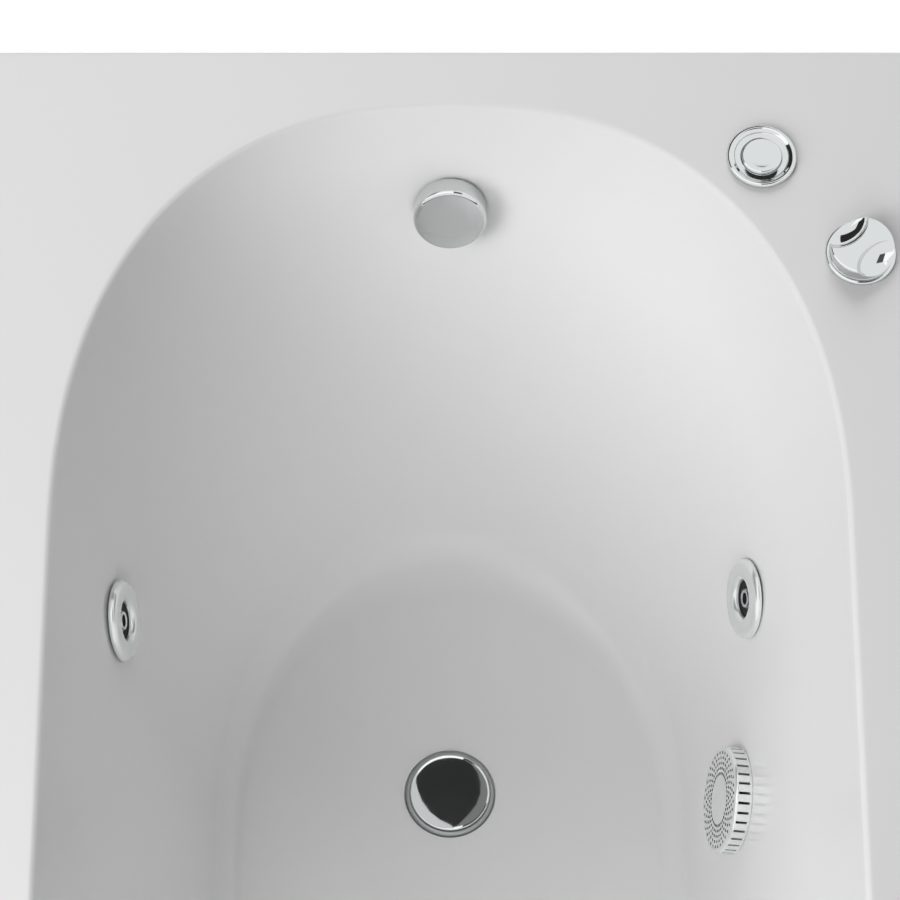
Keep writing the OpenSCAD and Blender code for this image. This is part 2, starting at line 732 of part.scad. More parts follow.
// Jets: a fitting through the wall screws into the body behind, a ring turns in the fitting,
// and a ball nozzle tilts in the ring.
jet_barrel_r = jet_hole_r - 0.5;
jet_barrel_l = 24;
jet_bore_r = jet_barrel_r - 3;
jet_body_r = jet_back_r - 1;
jet_body_l = 40;
jet_flange_t = 3;
jet_front_z = seat_cut + jet_front;
jet_back_z = seat_cut + 2.2;
ball_z = -6;
ball_gap = 0.1;
ball_flat = 9.5;
jet_lip_z = -14;
jet_water_v = -7;
jet_water_z = -33;
jet_air_v = 15;
jet_air_z = -27;
spigot_reach = 40;
hose_shoulder = jet_body_r + 0.3;
water_spigot_r = water_hose_r - 3;
air_barb_r = air_hose_r - 2;
module jet_bodies() {
    color(grey_plastic) for (i = [0:5]) {
        headward = i < 3 ? 1 : -1;
        front = back_face - gasket_t;
        at(jets[i]) difference() {
            union() {
                translate([0, 0, front - jet_body_l]) cylinder(r = jet_body_r, h = jet_body_l);
                translate([0, jet_water_v, jet_water_z]) rotate([0, 90 * headward, 0])
                    cylinder(r = water_spigot_r, h = spigot_reach);
                if (i % 3 > 0) translate([0, jet_water_v, jet_water_z])
                    rotate([0, -90 * headward, 0]) cylinder(r = water_spigot_r, h = spigot_reach);
                translate([0, jet_air_v, jet_air_z]) rotate([0, -90 * headward, 0])
                    cylinder(r = air_barb_r, h = spigot_reach);
                if (i % 3 < 2) translate([0, jet_air_v, jet_air_z])
                    rotate([0, 90 * headward, 0]) cylinder(r = air_barb_r, h = spigot_reach);
            }
            translate([0, 0, front - jet_body_l + 3])
                cylinder(r = jet_barrel_r + thread_gap, h = jet_body_l);
            translate([0, jet_water_v, jet_water_z]) rotate([0, 90 * headward, 0])
                cylinder(r = water_spigot_r - 2, h = spigot_reach + cut);
            if (i % 3 > 0) translate([0, jet_water_v, jet_water_z])
                rotate([0, -90 * headward, 0])
                    cylinder(r = water_spigot_r - 2, h = spigot_reach + cut);
        }
    }
}
module jet_gaskets() {
    color(black_rubber) for (j = jets) at(j)
        ring(jet_body_r, jet_hole_r, back_face - gasket_t, back_face);
}
module jet_fittings() {
    color(grey_plastic) for (j = jets) at(j) rotate_extrude() polygon([
        [jet_bore_r, -jet_barrel_l], [jet_barrel_r, -jet_barrel_l], [jet_barrel_r, 0],
        [jet_flange_r, 0], [jet_flange_r, jet_flange_t - 0.6],
        [jet_flange_r - 0.6, jet_flange_t], [jet_bore_r, jet_flange_t]
    ]);
}
module jet_ring(i) {
    sleeve_r = jet_bore_r - running_gap;
    socket_r = ball_r + ball_gap;
    mouth_r = ball_r + 2.2;
    face = jet_front_z;
    start = asin((jet_lip_z - ball_z) / socket_r);
    finish = asin((-0.2 - ball_z) / socket_r);
    color(chrome) at(jets[i]) rotate_extrude() polygon(concat(
        [for (k = [0:10]) let (a = lerp(start, finish, k / 10))
            [socket_r * cos(a), ball_z + socket_r * sin(a)]],
        [[mouth_r, face - 4.5], [mouth_r + 1, face - 2.4], [mouth_r + 3, face - 1],
            [mouth_r + 6, face - 0.2], [mouth_r + 8.5, face],
            [jet_r - 4.5, face - 0.4], [jet_r - 2, face - 1.4], [jet_r - 0.6, face - 3],
            [jet_r, face - 4.6], [jet_r, jet_back_z], [jet_r - 2, jet_back_z],
            [jet_r - 2, jet_flange_t + 0.5], [sleeve_r, jet_flange_t + 0.5],
            [sleeve_r, jet_lip_z]]
    ));
}
module jet_nozzle(i) {
    spout_r = ball_bore_r + 2.4;
    color(chrome) at(jets[i]) difference() {
        union() {
            intersection() {
                translate([0, 0, ball_z]) sphere(r = ball_r);
                translate([0, 0, ball_z - ball_flat]) cylinder(r = ball_r + 1, h = 2 * ball_flat);
            }
            translate([0, 0, ball_z]) cylinder(r = spout_r, h = ball_r - 1);
        }
        translate([0, 0, ball_z - ball_r]) cylinder(r = ball_bore_r, h = 2 * ball_r + 2);
    }
}

// Suction: a perforated grille over a fitting that screws into the body behind the wall
suction_barrel_r = suction_hole_r - 0.5;
suction_barrel_l = 26;
suction_bore_r = suction_barrel_r - 3;
suction_body_r = suction_back_r - 1;
suction_body_l = 52;
suction_axis = -36;
suction_spigot_r = suction_hose_r - 3;
suction_reach = suction_body_r + 26;
suction_flange_t = 3;
grille_front = seat_cut + suction_t;
grille_wall = 2.2;
grille_first_r = 20;
grille_last_r = suction_r - 5;
slot_from = 2.4;
slot_to = 2.6;
module suction_grille() {
    ring_gap = (grille_last_r - grille_first_r) / (grille_rings - 1);
    color(chrome) at(suction_seat) difference() {
        rotate_extrude() polygon([
            [0, grille_front - grille_wall], [suction_r - grille_wall - 1, grille_front - grille_wall],
            [suction_r - grille_wall, grille_front - grille_wall - 1],
            [suction_r - grille_wall, seat_cut + 0.5], [suction_r, seat_cut + 0.5],
            [suction_r, grille_front - 2.4], [suction_r - 0.7, grille_front - 0.7],
            [suction_r - 2.4, grille_front], [0, grille_front]
        ]);
        for (k = [0:grille_rings - 1], i = [0:grille_holes - 1])
            rotate(360 * (i + (k % 2) / 2) / grille_holes)
                translate([grille_first_r + ring_gap * k, 0, grille_front - grille_wall - cut])
                    cylinder(r = grille_hole_r, h = grille_wall + 2 * cut, $fn = 16);
        for (i = [0:grille_slots - 1]) rotate(360 * (i + 0.5) / grille_slots)
            translate([suction_r - grille_wall - cut, -grille_slot_w / 2, seat_cut + slot_from])
                cube([grille_wall + 2 * cut, grille_slot_w, suction_t - slot_from - slot_to]);
    }
}
module suction_fitting() {
    color(grey_plastic) at(suction_seat) {
        rotate_extrude() polygon([
            [suction_bore_r, -suction_barrel_l], [suction_barrel_r, -suction_barrel_l],
            [suction_barrel_r, 0], [suction_flange_r, 0], [suction_flange_r, suction_flange_t],
            [suction_bore_r, suction_flange_t]
        ]);
    }
}
module suction_gasket() {
    color(black_rubber) at(suction_seat)
        ring(suction_body_r, suction_hole_r, back_face - gasket_t, back_face);
}
module suction_body() {
    front = back_face - gasket_t;
    color(grey_plastic) at(suction_seat) difference() {
        union() {
            translate([0, 0, front - suction_body_l]) cylinder(r = suction_body_r, h = suction_body_l);
            translate([0, 0, suction_axis]) rotate([0, 90, 0])
                cylinder(r = suction_spigot_r, h = suction_reach);
        }
        translate([0, 0, front - suction_body_l + 3])
            cylinder(r = suction_barrel_r + thread_gap, h = suction_body_l);
        translate([0, 0, suction_axis]) rotate([0, 90, 0])
            cylinder(r = suction_spigot_r - 2.5, h = suction_reach + cut);
    }
}

// Frame: two side rails joined by cross bars, with posts up to the deck
module square_tube(size, wall, length) {
    linear_extrude(length) difference() {
        square(size, center = true);
        square(size - 2 * wall, center = true);
    }
}
rail_z = bar_z + bar_w / 2;
rail_end = 35;
foot_in = 60;
post_y = [end_bar_y, half_l - 40, bath_l - end_bar_y];
foot_y = [end_bar_y + foot_in, half_l + foot_in / 2, bath_l - end_bar_y - foot_in];
bar_y = [end_bar_y, bar_1_y, bar_2_y, bar_3_y, bath_l - end_bar_y];
feet = [for (side = [1, -1], y = foot_y) [side * rail_x, from_foot(y)]];
board_in = 16;
board_screw_x = 110;
screw_r = 3;
screw_pilot = 12;
pump_x = -128;
pump_bolt_x = [pump_x - 2, pump_x + motor_l + 3];
pump_bolt_y = [bar_3_y, bath_l - end_bar_y];
// Point of the board's edge, which keeps inside the flat of the basin floor
function board_point(turn, end, side) =
    let (
        flat_end = end > 0 ? half_l - foot_deck - fillet_point(foot_draft, foot_fillet, fillet_steps, 0)[0]
            : half_l - head_deck - fillet_point(head_draft, head_fillet, fillet_steps, 0)[0],
        apex = flat_end - board_in,
        tangent = end > 0 ? from_foot(foot_round_floor) : half_l - head_round_floor
    )
    [
        side * board_w / 2 * pow(sin(turn), 2 / floor_power),
        end * (tangent + (apex - tangent) * pow(cos(turn), 2 / floor_power))
    ];
module base_board() {
    n = 12;
    color(timber) difference() {
        translate([0, 0, board_z]) linear_extrude(board_t) polygon(concat(
            [for (i = [n:-1:0]) board_point(90 * i / n, 1, 1)],
            [for (i = [1:n]) board_point(90 * i / n, 1, -1)],
            [for (i = [n:-1:0]) board_point(90 * i / n, -1, -1)],
            [for (i = [1:n]) board_point(90 * i / n, -1, 1)]
        ));
        translate([0, from_foot(waste_y), board_z - cut])
            cylinder(r = waste_collar_r + 4, h = board_t + 2 * cut);
        for (y = [bar_1_y, bar_2_y], x = [-1, 1])
            translate([x * board_screw_x, from_foot(y), board_z - cut])
                cylinder(r = screw_r, h = screw_pilot + cut);
    }
}
module rim_battens() {
    low = deck_h - shell_t - batten_h;
    color(timber) for (side = [-1, 1])
        translate([side * rail_x - batten_w / 2, batten_head_y - half_l, low])
            cube([batten_w, bath_l - batten_foot_y - batten_head_y, batten_h]);
}
module side_rails() {
    color(zinc_steel) for (side = [-1, 1]) difference() {
        translate([side * rail_x, half_l - rail_end, rail_z]) rotate([90, 0, 0])
            square_tube(bar_w, bar_t, bath_l - 2 * rail_end);
        for (f = feet) if (f[0] * side > 0) translate([f[0], f[1], bar_z - cut])
            cylinder(r = stud_r + running_gap, h = bar_w + 2 * cut);
    }
}
module cross_bars() {
    reach = rail_x - bar_w / 2;
    color(zinc_steel) for (y = bar_y) difference() {
        translate([-reach, from_foot(y), rail_z]) rotate([0, 90, 0])
            square_tube(bar_w, bar_t, 2 * reach);
        if (y == bar_1_y || y == bar_2_y) for (x = [-1, 1])
            translate([x * board_screw_x, from_foot(y), bar_z - cut])
                cylinder(r = screw_r + 0.2, h = bar_w + 2 * cut);
        if (y == bar_3_y || y == bath_l - end_bar_y) for (x = pump_bolt_x)
            translate([x, from_foot(y), bar_z - cut])
                cylinder(r = screw_r + 0.2, h = bar_w + 2 * cut);
    }
}
module rim_posts() {
    low = bar_z + bar_w;
    color(zinc_steel) for (side = [-1, 1], i = [0:2]) {
        top = i == 1 ? deck_h - shell_t - batten_h : deck_h - shell_t;
        translate([side * rail_x, from_foot(post_y[i]), low])
            square_tube(post_w, post_t, top - low);
    }
}
module bolt(length) {
    cylinder(r = screw_r, h = length);
    translate([0, 0, -4]) cylinder(r = 2 * screw_r, h = 4, $fn = 6);
}
plate_t = 4;
nut_h = 8;
module frame_bolts() {
    color(zinc_steel) {
        for (y = [bar_1_y, bar_2_y], x = [-1, 1])
            translate([x * board_screw_x, from_foot(y), bar_z]) bolt(bar_w + screw_pilot - 1);
        for (y = pump_bolt_y, x = pump_bolt_x)
            translate([x, from_foot(y), board_z + plate_t]) mirror([0, 0, 1])
                bolt(bar_w + plate_t + nut_h);
    }
}
module foot(i) {
    color(grey_plastic) translate([feet[i][0], feet[i][1], 0]) {
        rotate_extrude() polygon([
            [0, 0], [pad_r - 1, 0], [pad_r, 1], [pad_r, 7], [pad_r - 3, 10], [stud_r + 6, 12],
            [stud_r + 4, pad_h], [0, pad_h]
        ]);
        translate([0, 0, pad_h - 1])
            cylinder(r = stud_r, h = board_z + nut_h + foot_travel + 7 - pad_h);
    }
}
nut_r = 1.8 * stud_r;
module foot_nuts() {
    color(zinc_steel) for (f = feet, low = [bar_z - nut_h, bar_z + bar_w])
        translate([f[0], f[1], low]) difference() {
            cylinder(r = nut_r, h = nut_h, $fn = 6);
            translate([0, 0, -cut]) cylinder(r = stud_r + running_gap, h = nut_h + 2 * cut);
        }
}

// Pump: its axis runs across the bath, with the inlet towards +X and the outlet up.
pump_axis = [[pump_x, from_foot(pump_y), board_z + plate_t + pump_h], [0, 1, 0], [0, 0, 1], [1, 0, 0]];
motor_core_r = motor_r - 6;
cowl_l = 30;
cowl_t = 3;
cowl_slots = 16;
cowl_slot_w = 4;
fan_r = 12;
fan_z = 7;
fan_h = 10;
fan_blades = 7;
cradle_w = 76;
cradle_h = 40;
cradle_l = 18;
plate_in = 16;
bearing_gap = 0.05;
rotor_r = 30;
rotor_from = 50;
rotor_to = motor_l - 22;
volute_from = motor_l;
volute_wall = 4;
impeller_r = volute_r - 22;
impeller_from = volute_from + 10;
impeller_disc = 3;
impeller_hub_r = 15;
impeller_hub_h = 15;
blade_h = 11;
blade_turn = 72;
inlet_l = 30;
discharge_x = volute_r - 26;
tee_y = volute_r + 30;
tee_reach = 44;
box_w = 48;
box_h = 28;
box_l = 62;
box_z = 58;
lid_t = 4;
gland_r = 8;
gland_bore_r = 4;
gland_l = 14;
gland_y = motor_core_r + 14;
switch_x = 10;
switch_z = 76;
tee_z = volute_from + volute_w / 2;
module spiral(growth) {
    polygon([for (k = [0:35]) let (a = 10 * k, r = volute_r - 14 + 14 * k / 35 - growth)
        [r * cos(a + 10), r * sin(a + 10)]]);
}
module pump_motor() {
    color(motor_paint) at(pump_axis) difference() {
        union() {
            translate([0, 0, cowl_l]) cylinder(r = motor_core_r, h = motor_l - cowl_l);
            cylinder(r = motor_r, h = cowl_l);
            translate([0, 0, motor_l - 10]) cylinder(r = motor_r, h = 10);
            for (i = [0:motor_ribs - 1]) rotate(360 * i / motor_ribs)
                translate([motor_core_r - 1, -1, cowl_l - 1])
                    cube([motor_r - motor_core_r, 2, motor_l - cowl_l - 8]);
            translate([-box_w / 2, motor_core_r - 3, box_z]) cube([box_w, box_h + 3, box_l]);
            translate([-box_w / 2 - 2, motor_core_r + box_h, box_z - 2])
                cube([box_w + 4, lid_t, box_l + 4]);
            translate([-box_w / 2 - gland_l, gland_y, box_z + box_l / 2]) rotate([0, 90, 0])
                cylinder(r = gland_r, h = gland_l + 2);
            translate([switch_x, motor_core_r + box_h, switch_z]) rotate([-90, 0, 0])
                cylinder(r = tube_r - 1, h = lid_t + 14);
        }
        translate([0, 0, cowl_t]) cylinder(r = motor_r - cowl_t, h = cowl_l - cowl_t - 6);
        for (i = [0:cowl_slots - 1]) rotate(360 * i / cowl_slots)
            translate([fan_r + 4, -cowl_slot_w / 2, -cut])
                cube([motor_r - cowl_t - fan_r - 8, cowl_slot_w, cowl_t + 2 * cut]);
        translate([0, 0, rotor_from - 4]) cylinder(r = rotor_r + 1, h = rotor_to - rotor_from + 8);
        translate([0, 0, -cut]) cylinder(r = shaft_r + bearing_gap, h = motor_l + 2 * cut);
        translate([-box_w / 2 - gland_l - cut, gland_y, box_z + box_l / 2]) rotate([0, 90, 0])
            cylinder(r = gland_bore_r, h = gland_l + 10);
    }
}
module pump_housing() {
    low = volute_from;
    high = volute_from + volute_w;
    color(pump_plastic) at(pump_axis) difference() {
        union() {
            translate([0, 0, low]) linear_extrude(volute_w) spiral(0);
            translate([0, 0, high - 1]) cylinder(r = suction_spigot_r + 6, h = 7);
            translate([0, 0, high]) cylinder(r = suction_spigot_r, h = inlet_l);
            translate([discharge_x, 0, tee_z]) rotate([-90, 0, 0])
                cylinder(r = water_spigot_r + 3, h = tee_y);
            translate([discharge_x, tee_y, tee_z - tee_reach])
                cylinder(r = water_spigot_r, h = 2 * tee_reach);
            translate([discharge_x, tee_y, tee_z - 16])
                cylinder(r = water_spigot_r + 3.2, h = 32);
        }
        translate([0, 0, low + volute_wall]) linear_extrude(volute_w - 2 * volute_wall)
            spiral(volute_wall);
        translate([0, 0, low - cut]) cylinder(r = shaft_r + bearing_gap, h = volute_wall + 2 * cut);
        translate([0, 0, high - volute_wall - cut])
            cylinder(r = suction_spigot_r - 2.5, h = inlet_l + volute_wall + 2 * cut);
        translate([discharge_x, 0, tee_z]) rotate([-90, 0, 0])
            cylinder(r = water_spigot_r, h = tee_y);
        translate([discharge_x, tee_y, tee_z - tee_reach - cut])
            cylinder(r = water_spigot_r - 2, h = 2 * tee_reach + 2 * cut);
    }
}
module pump_rotor() {
    color(zinc_steel) at(pump_axis) {
        translate([0, 0, fan_z + 1])
            cylinder(r = shaft_r, h = impeller_from + impeller_hub_h - fan_z - 2);
        translate([0, 0, rotor_from]) cylinder(r = rotor_r, h = rotor_to - rotor_from);
        translate([0, 0, fan_z - 1]) cylinder(r = fan_r + 2, h = fan_h + 2);
        for (i = [0:fan_blades - 1]) rotate(360 * i / fan_blades) translate([fan_r, -1, fan_z])
            cube([motor_r - cowl_t - 4 - fan_r, 2, fan_h]);
    }
}
// Blade that sweeps back from inside the hub to the disc's edge, thinner at its tip
module blade(r) {
    root_r = impeller_hub_r - 3;
    polygon(concat(
        [for (k = [0:6]) let (a = blade_turn * k / 6, d = lerp(root_r, r, k / 6))
            [d * cos(a), d * sin(a)]],
        [for (k = [6:-1:0]) let (a = blade_turn * k / 6 + lerp(9, 4, k / 6), d = lerp(root_r, r, k / 6))
            [d * cos(a), d * sin(a)]]
    ));
}
module pump_impeller() {
    color(white_pipe) at(pump_axis) difference() {
        union() {
            translate([0, 0, impeller_from]) cylinder(r = impeller_r, h = impeller_disc);
            translate([0, 0, impeller_from]) cylinder(r = impeller_hub_r, h = impeller_hub_h);
            for (i = [0:impeller_blades - 1]) rotate(360 * i / impeller_blades)
                translate([0, 0, impeller_from + impeller_disc - 1])
                    linear_extrude(blade_h + 1) blade(impeller_r - 1);
        }
        translate([0, 0, impeller_from - cut])
            cylinder(r = shaft_r + 0.02, h = impeller_hub_h + 2 * cut);
    }
}
module pump_base() {
    plate_y = [from_foot(bath_l - end_bar_y) - bar_w / 2, from_foot(bar_3_y) + bar_w / 2];
    plate_x = [pump_bolt_x[0] - plate_in, pump_bolt_x[1] + plate_in];
    color(zinc_steel) {
        difference() {
            translate([plate_x[0], plate_y[0], board_z])
                cube([plate_x[1] - plate_x[0], plate_y[1] - plate_y[0], plate_t]);
            for (x = pump_bolt_x, y = pump_bolt_y) translate([x, from_foot(y), board_z - cut])
                cylinder(r = screw_r + 0.2, h = plate_t + 2 * cut);
        }
        at(pump_axis) for (z = [cowl_l + 8, motor_l - cradle_l - 12]) difference() {
            translate([-cradle_w / 2, -pump_h, z]) cube([cradle_w, cradle_h, cradle_l]);
            translate([0, 0, z - cut]) cylinder(r = motor_r + clear_gap, h = cradle_l + 2 * cut);
        }
    }
}

// Hoses: straight legs joined by arcs, swept with a bore that slips over the spigots
function leg_arc(a, b, c, bend, steps) =
    let (
        d1 = unit(b - a), d2 = unit(c - b),
        turn = acos(min(1, max(-1, d1 * d2))),
        m = unit(d2 - d1 * (d1 * d2)),
        start = b - d1 * bend * tan(turn / 2),
        centre = start + m * bend
    )
    turn < 0.5 ? []
    : [for (k = [0:steps]) let (w = turn * k / steps)
        [centre - m * bend * cos(w) + d1 * bend * sin(w), d1 * cos(w) + m * sin(w)]];
function hose_path(p, bend, steps) = let (n = len(p)) concat(
    [[p[0], unit(p[1] - p[0])]],
    [for (i = [1:n - 2]) each leg_arc(p[i - 1], p[i], p[i + 1], bend, steps)],
    [[p[n - 1], unit(p[n - 1] - p[n - 2])]]
);
function across(v, t) = unit(v - t * (v * t));
function hose_ring(at, n, r, sides) = let (b = cross(at[1], n), fit = r / cos(180 / sides))
    [for (i = [0:sides - 1]) let (a = -360 * i / sides)
        at[0] + (n * cos(a) + b * sin(a)) * fit];
module hose(p, r, bore, bend, steps = 6, sides = 12) {
    path = hose_path(p, bend, steps);
    first = abs(path[0][1][2]) > 0.9 ? [1, 0, 0] : [0, 0, 1];
    frames = [for (i = 0, n = across(first, path[0][1]); i < len(path);
        i = i + 1, n = i < len(path) ? across(n, path[i][1]) : n) n];
    outer = [for (i = [0:len(path) - 1]) hose_ring(path[i], frames[i], r, sides)];
    if (bore > 0) {
        inner = [for (i = [len(path) - 1:-1:0]) hose_ring(path[i], frames[i], bore, sides)];
        rings = concat(outer, inner);
        n = len(rings);
        polyhedron(
            points = [for (ring = rings) each ring],
            faces = [for (k = [0:n - 1], i = [0:sides - 1])
                let (j = (i + 1) % sides, m = (k + 1) % n,
                    a = k * sides + i, b = k * sides + j, c = m * sides + j, d = m * sides + i)
                each [[a, b, c], [a, c, d]]],
            convexity = 10
        );
    } else skin(outer);
}
slip = 0.25;
hose_straight = 90;
side_bend = 300;
drop_bend = 60;
cable_r = 2.6;
cable_bend = 60;
tube_bend = 20;
hose_drop = 170;
air_drop = 90;
air_down = 20;
air_turn_y = 160;
air_end = 24;
tube_side = 26;
tube_down = 110;
tube_run = 130;
tube_turn_y = 250;
tube_over = 50;
tube_back = 120;
function jet_water(i, s) = place(jets[i], [s, jet_water_v, jet_water_z]);
function jet_air(i, s) = place(jets[i], [s, jet_air_v, jet_air_z]);
function pump_at(p) = place(pump_axis, p);
module water_hoses() {
    bore = water_spigot_r + slip;
    color(white_pipe) {
        for (i = [0, 1, 3, 4]) {
            h = i < 3 ? 1 : -1;
            hose([jet_water(i, h * hose_shoulder), jet_water(i, h * hose_straight),
                jet_water(i + 1, -h * hose_straight), jet_water(i + 1, -h * hose_shoulder)],
                water_hose_r, bore, side_bend, 3);
        }
        for (side = [1, -1]) {
            last = side > 0 ? 2 : 5;
            barb = jet_water(last, side * hose_shoulder);
            tee = pump_at([discharge_x, tee_y, tee_z + side * 17]);
            hose([tee, [barb[0], tee[1], tee[2]], [barb[0], barb[1] - hose_drop, barb[2]], barb],
                water_hose_r, bore, drop_bend, 6);
        }
    }
}
module air_hoses() {
    bore = air_barb_r + slip;
    color(white_pipe) {
        for (i = [0, 1, 3, 4]) {
            h = i < 3 ? 1 : -1;
            hose([jet_air(i, h * hose_shoulder), jet_air(i, h * hose_straight),
                jet_air(i + 1, -h * hose_straight), jet_air(i + 1, -h * hose_shoulder)],
                air_hose_r, bore, side_bend, 3, 8);
        }
        valve = place(air_seat, [0, 0, -air_valve_l - 0.3]);
        right = jet_air(0, -hose_shoulder);
        hose([valve, [valve[0], valve[1], valve[2] - air_drop], jet_air(0, -hose_straight), right],
            air_hose_r, bore, 30, 5, 8);
        side_out = place(air_seat, [0, control_barrel_r + 0.3, air_spigot_z]);
        left = jet_air(3, hose_shoulder);
        end_y = half_l - air_end;
        hose([side_out, [side_out[0], end_y, side_out[2]], [-side_out[0], end_y, side_out[2]],
            [-side_out[0], from_foot(air_turn_y), side_out[2] - air_down],
            jet_air(3, hose_straight), left],
            air_hose_r, bore, 30, 5, 8);
    }
}
suction_run = 90;
suction_dip = 170;
module suction_hose() {
    start = place(suction_seat, [suction_body_r + 0.3, 0, suction_axis]);
    inlet = pump_at([0, 0, volute_from + volute_w + 6.3]);
    color(black_rubber) hose([start, [start[0], start[1] - suction_run, start[2]],
        [start[0], start[1] - suction_run - suction_dip, inlet[2]], [start[0], inlet[1], inlet[2]], inlet],
        suction_hose_r, suction_spigot_r + slip, 80);
}
module overflow_pipe() {
    top = place(overflow_seat, [0, -(overflow_back_r + 0.3), overflow_axis]);
    end = place(waste_seat, [0, waste_body_r + 1, waste_inlet_z]);
    drop = top[2] - end[2];
    corner = [0, top[1] - drop * tan(foot_draft), end[2]];
    color(white_pipe) hose([top, corner, end], pipe_r, waste_inlet_r + slip, 60);
}
module bowden_cable() {
    top = place(overflow_seat, [cable_x, -cable_boss_l - 0.1, overflow_axis]);
    end = place(waste_seat, [cable_x, waste_body_r + 8.1, waste_inlet_z]);
    corner = [cable_x, top[1] - (top[2] - end[2]) * tan(foot_draft), end[2]];
    color(black_rubber) hose([top, corner, end], cable_r, 0, cable_bend, 6, 8);
}
module button_tube() {
    start = place(button_seat, [0, 0, -button_depth - 0.3]);
    end = pump_at([switch_x, motor_core_r + box_h + lid_t + 0.3, switch_z]);
    side = rail_x - tube_side;
    run_z = deck_h - tube_run;
    over = end[2] + tube_over;
    color(black_rubber) hose([start, [start[0], start[1], deck_h - tube_down],
        [side, from_foot(tube_turn_y), run_z], [side, end[1] + tube_back, run_z],
        [side, end[1], over], [end[0], end[1], over], end],
        tube_r, tube_bore_r + slip, tube_bend, 4, 8);
}

bath_shell();
base_board();
rim_battens();
side_rails();
cross_bars();
rim_posts();
frame_bolts();
for (i = [0:5]) foot(i);
foot_nuts();
waste_flange();
waste_gasket();
waste_body();
waste_plug();
plug_seal();
overflow_rose();
overflow_gasket();
overflow_body();
overflow_knob();
overflow_pipe();
bowden_cable();
button_bezel();
push_button();
button_bellows();
air_bezel();
air_valve();
air_knob();
control_nuts();
jet_bodies();
jet_gaskets();
jet_fittings();
for (i = [0:5]) jet_ring(i);
for (i = [0:5]) jet_nozzle(i);
suction_grille();
suction_fitting();
suction_gasket();
suction_body();
pump_motor();
pump_housing();
pump_rotor();
pump_impeller();
pump_base();
water_hoses();
air_hoses();
suction_hose();
button_tube();
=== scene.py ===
"""Dresses the hydromassage bath: a polished acrylic shell, chrome fittings, hoses, pump, frame and studio."""
import json
import math
from contextlib import contextmanager

import bmesh
import bpy
from bpy.props import FloatProperty, FloatVectorProperty, IntProperty, PointerProperty
from mathutils import Matrix, Vector


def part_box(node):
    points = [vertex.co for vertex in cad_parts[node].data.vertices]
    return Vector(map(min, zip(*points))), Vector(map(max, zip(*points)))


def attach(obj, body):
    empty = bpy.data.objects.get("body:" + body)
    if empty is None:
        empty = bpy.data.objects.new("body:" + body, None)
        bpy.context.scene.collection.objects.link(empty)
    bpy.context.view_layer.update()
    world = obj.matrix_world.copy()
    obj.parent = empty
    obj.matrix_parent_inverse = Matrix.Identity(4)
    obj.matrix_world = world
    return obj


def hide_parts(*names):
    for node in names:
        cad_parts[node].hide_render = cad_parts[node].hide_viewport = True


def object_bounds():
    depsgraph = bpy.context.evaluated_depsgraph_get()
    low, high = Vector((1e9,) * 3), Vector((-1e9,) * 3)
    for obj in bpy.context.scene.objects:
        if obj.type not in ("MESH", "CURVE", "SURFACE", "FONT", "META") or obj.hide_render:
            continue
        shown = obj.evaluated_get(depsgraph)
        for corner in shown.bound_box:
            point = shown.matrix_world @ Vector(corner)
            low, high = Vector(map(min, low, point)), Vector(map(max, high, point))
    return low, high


bl_info = {
    "name": "Hydromassage bath",
    "version": (1, 0, 0),
    "blender": (4, 5, 0),
    "location": "View3D > Sidebar > Bath",
    "description": "Builds the pieces of a hydromassage bath round its frame",
    "category": "Object",
}

MM = 0.001
RIGHT_ANGLE = math.pi / 2
FULL_TURN = 2 * math.pi

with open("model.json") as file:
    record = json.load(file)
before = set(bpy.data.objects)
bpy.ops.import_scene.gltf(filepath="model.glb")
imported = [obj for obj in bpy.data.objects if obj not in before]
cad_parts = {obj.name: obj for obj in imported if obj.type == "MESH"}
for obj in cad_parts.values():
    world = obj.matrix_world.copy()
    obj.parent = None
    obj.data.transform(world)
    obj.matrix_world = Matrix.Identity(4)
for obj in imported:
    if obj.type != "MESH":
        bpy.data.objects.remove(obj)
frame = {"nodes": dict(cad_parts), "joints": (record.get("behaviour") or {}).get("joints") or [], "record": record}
CAD_LOW, CAD_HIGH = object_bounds()
JOINTS = {joint["name"]: joint for joint in frame["joints"]}
HALF_L = CAD_HIGH.y
HALF_W = CAD_HIGH.x
DECK_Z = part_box("bath_shell")[1].z
JETS = range(1, 7)


def mm(x, y, z):
    """A place or a step given in millimetres"""
    return Vector((x, y, z)) * MM


def linear(code):
    """The linear RGB of an sRGB hex colour"""
    parts = [int(code[i:i + 2], 16) / 255 for i in (1, 3, 5)]
    return tuple(c / 12.92 if c <= 0.04045 else ((c + 0.055) / 1.055) ** 2.4 for c in parts)


def length(name, description, mm):
    """A length that a user can change, given in millimetres"""
    return FloatProperty(name=name, description=description, default=mm * MM, min=0.0, unit="LENGTH")


def lean(name, description, degrees):
    """An angle that a user can change, given in degrees"""
    return FloatProperty(name=name, description=description, default=math.radians(degrees), subtype="ANGLE")


def metres(name, description, distance):
    """A distance that a user can change, given in metres"""
    return FloatProperty(name=name, description=description, default=distance, unit="LENGTH")


def watts(name, where, power):
    """The power of a softbox that a user can change"""
    return FloatProperty(name=name, description=f"Power of the softbox {where}, in watts", default=power)


def colour(name, description, code):
    """A colour that a user can change, given as sRGB hex"""
    return FloatVectorProperty(name=name, description=description, default=linear(code), size=3,
                               min=0.0, max=1.0, subtype="COLOR")


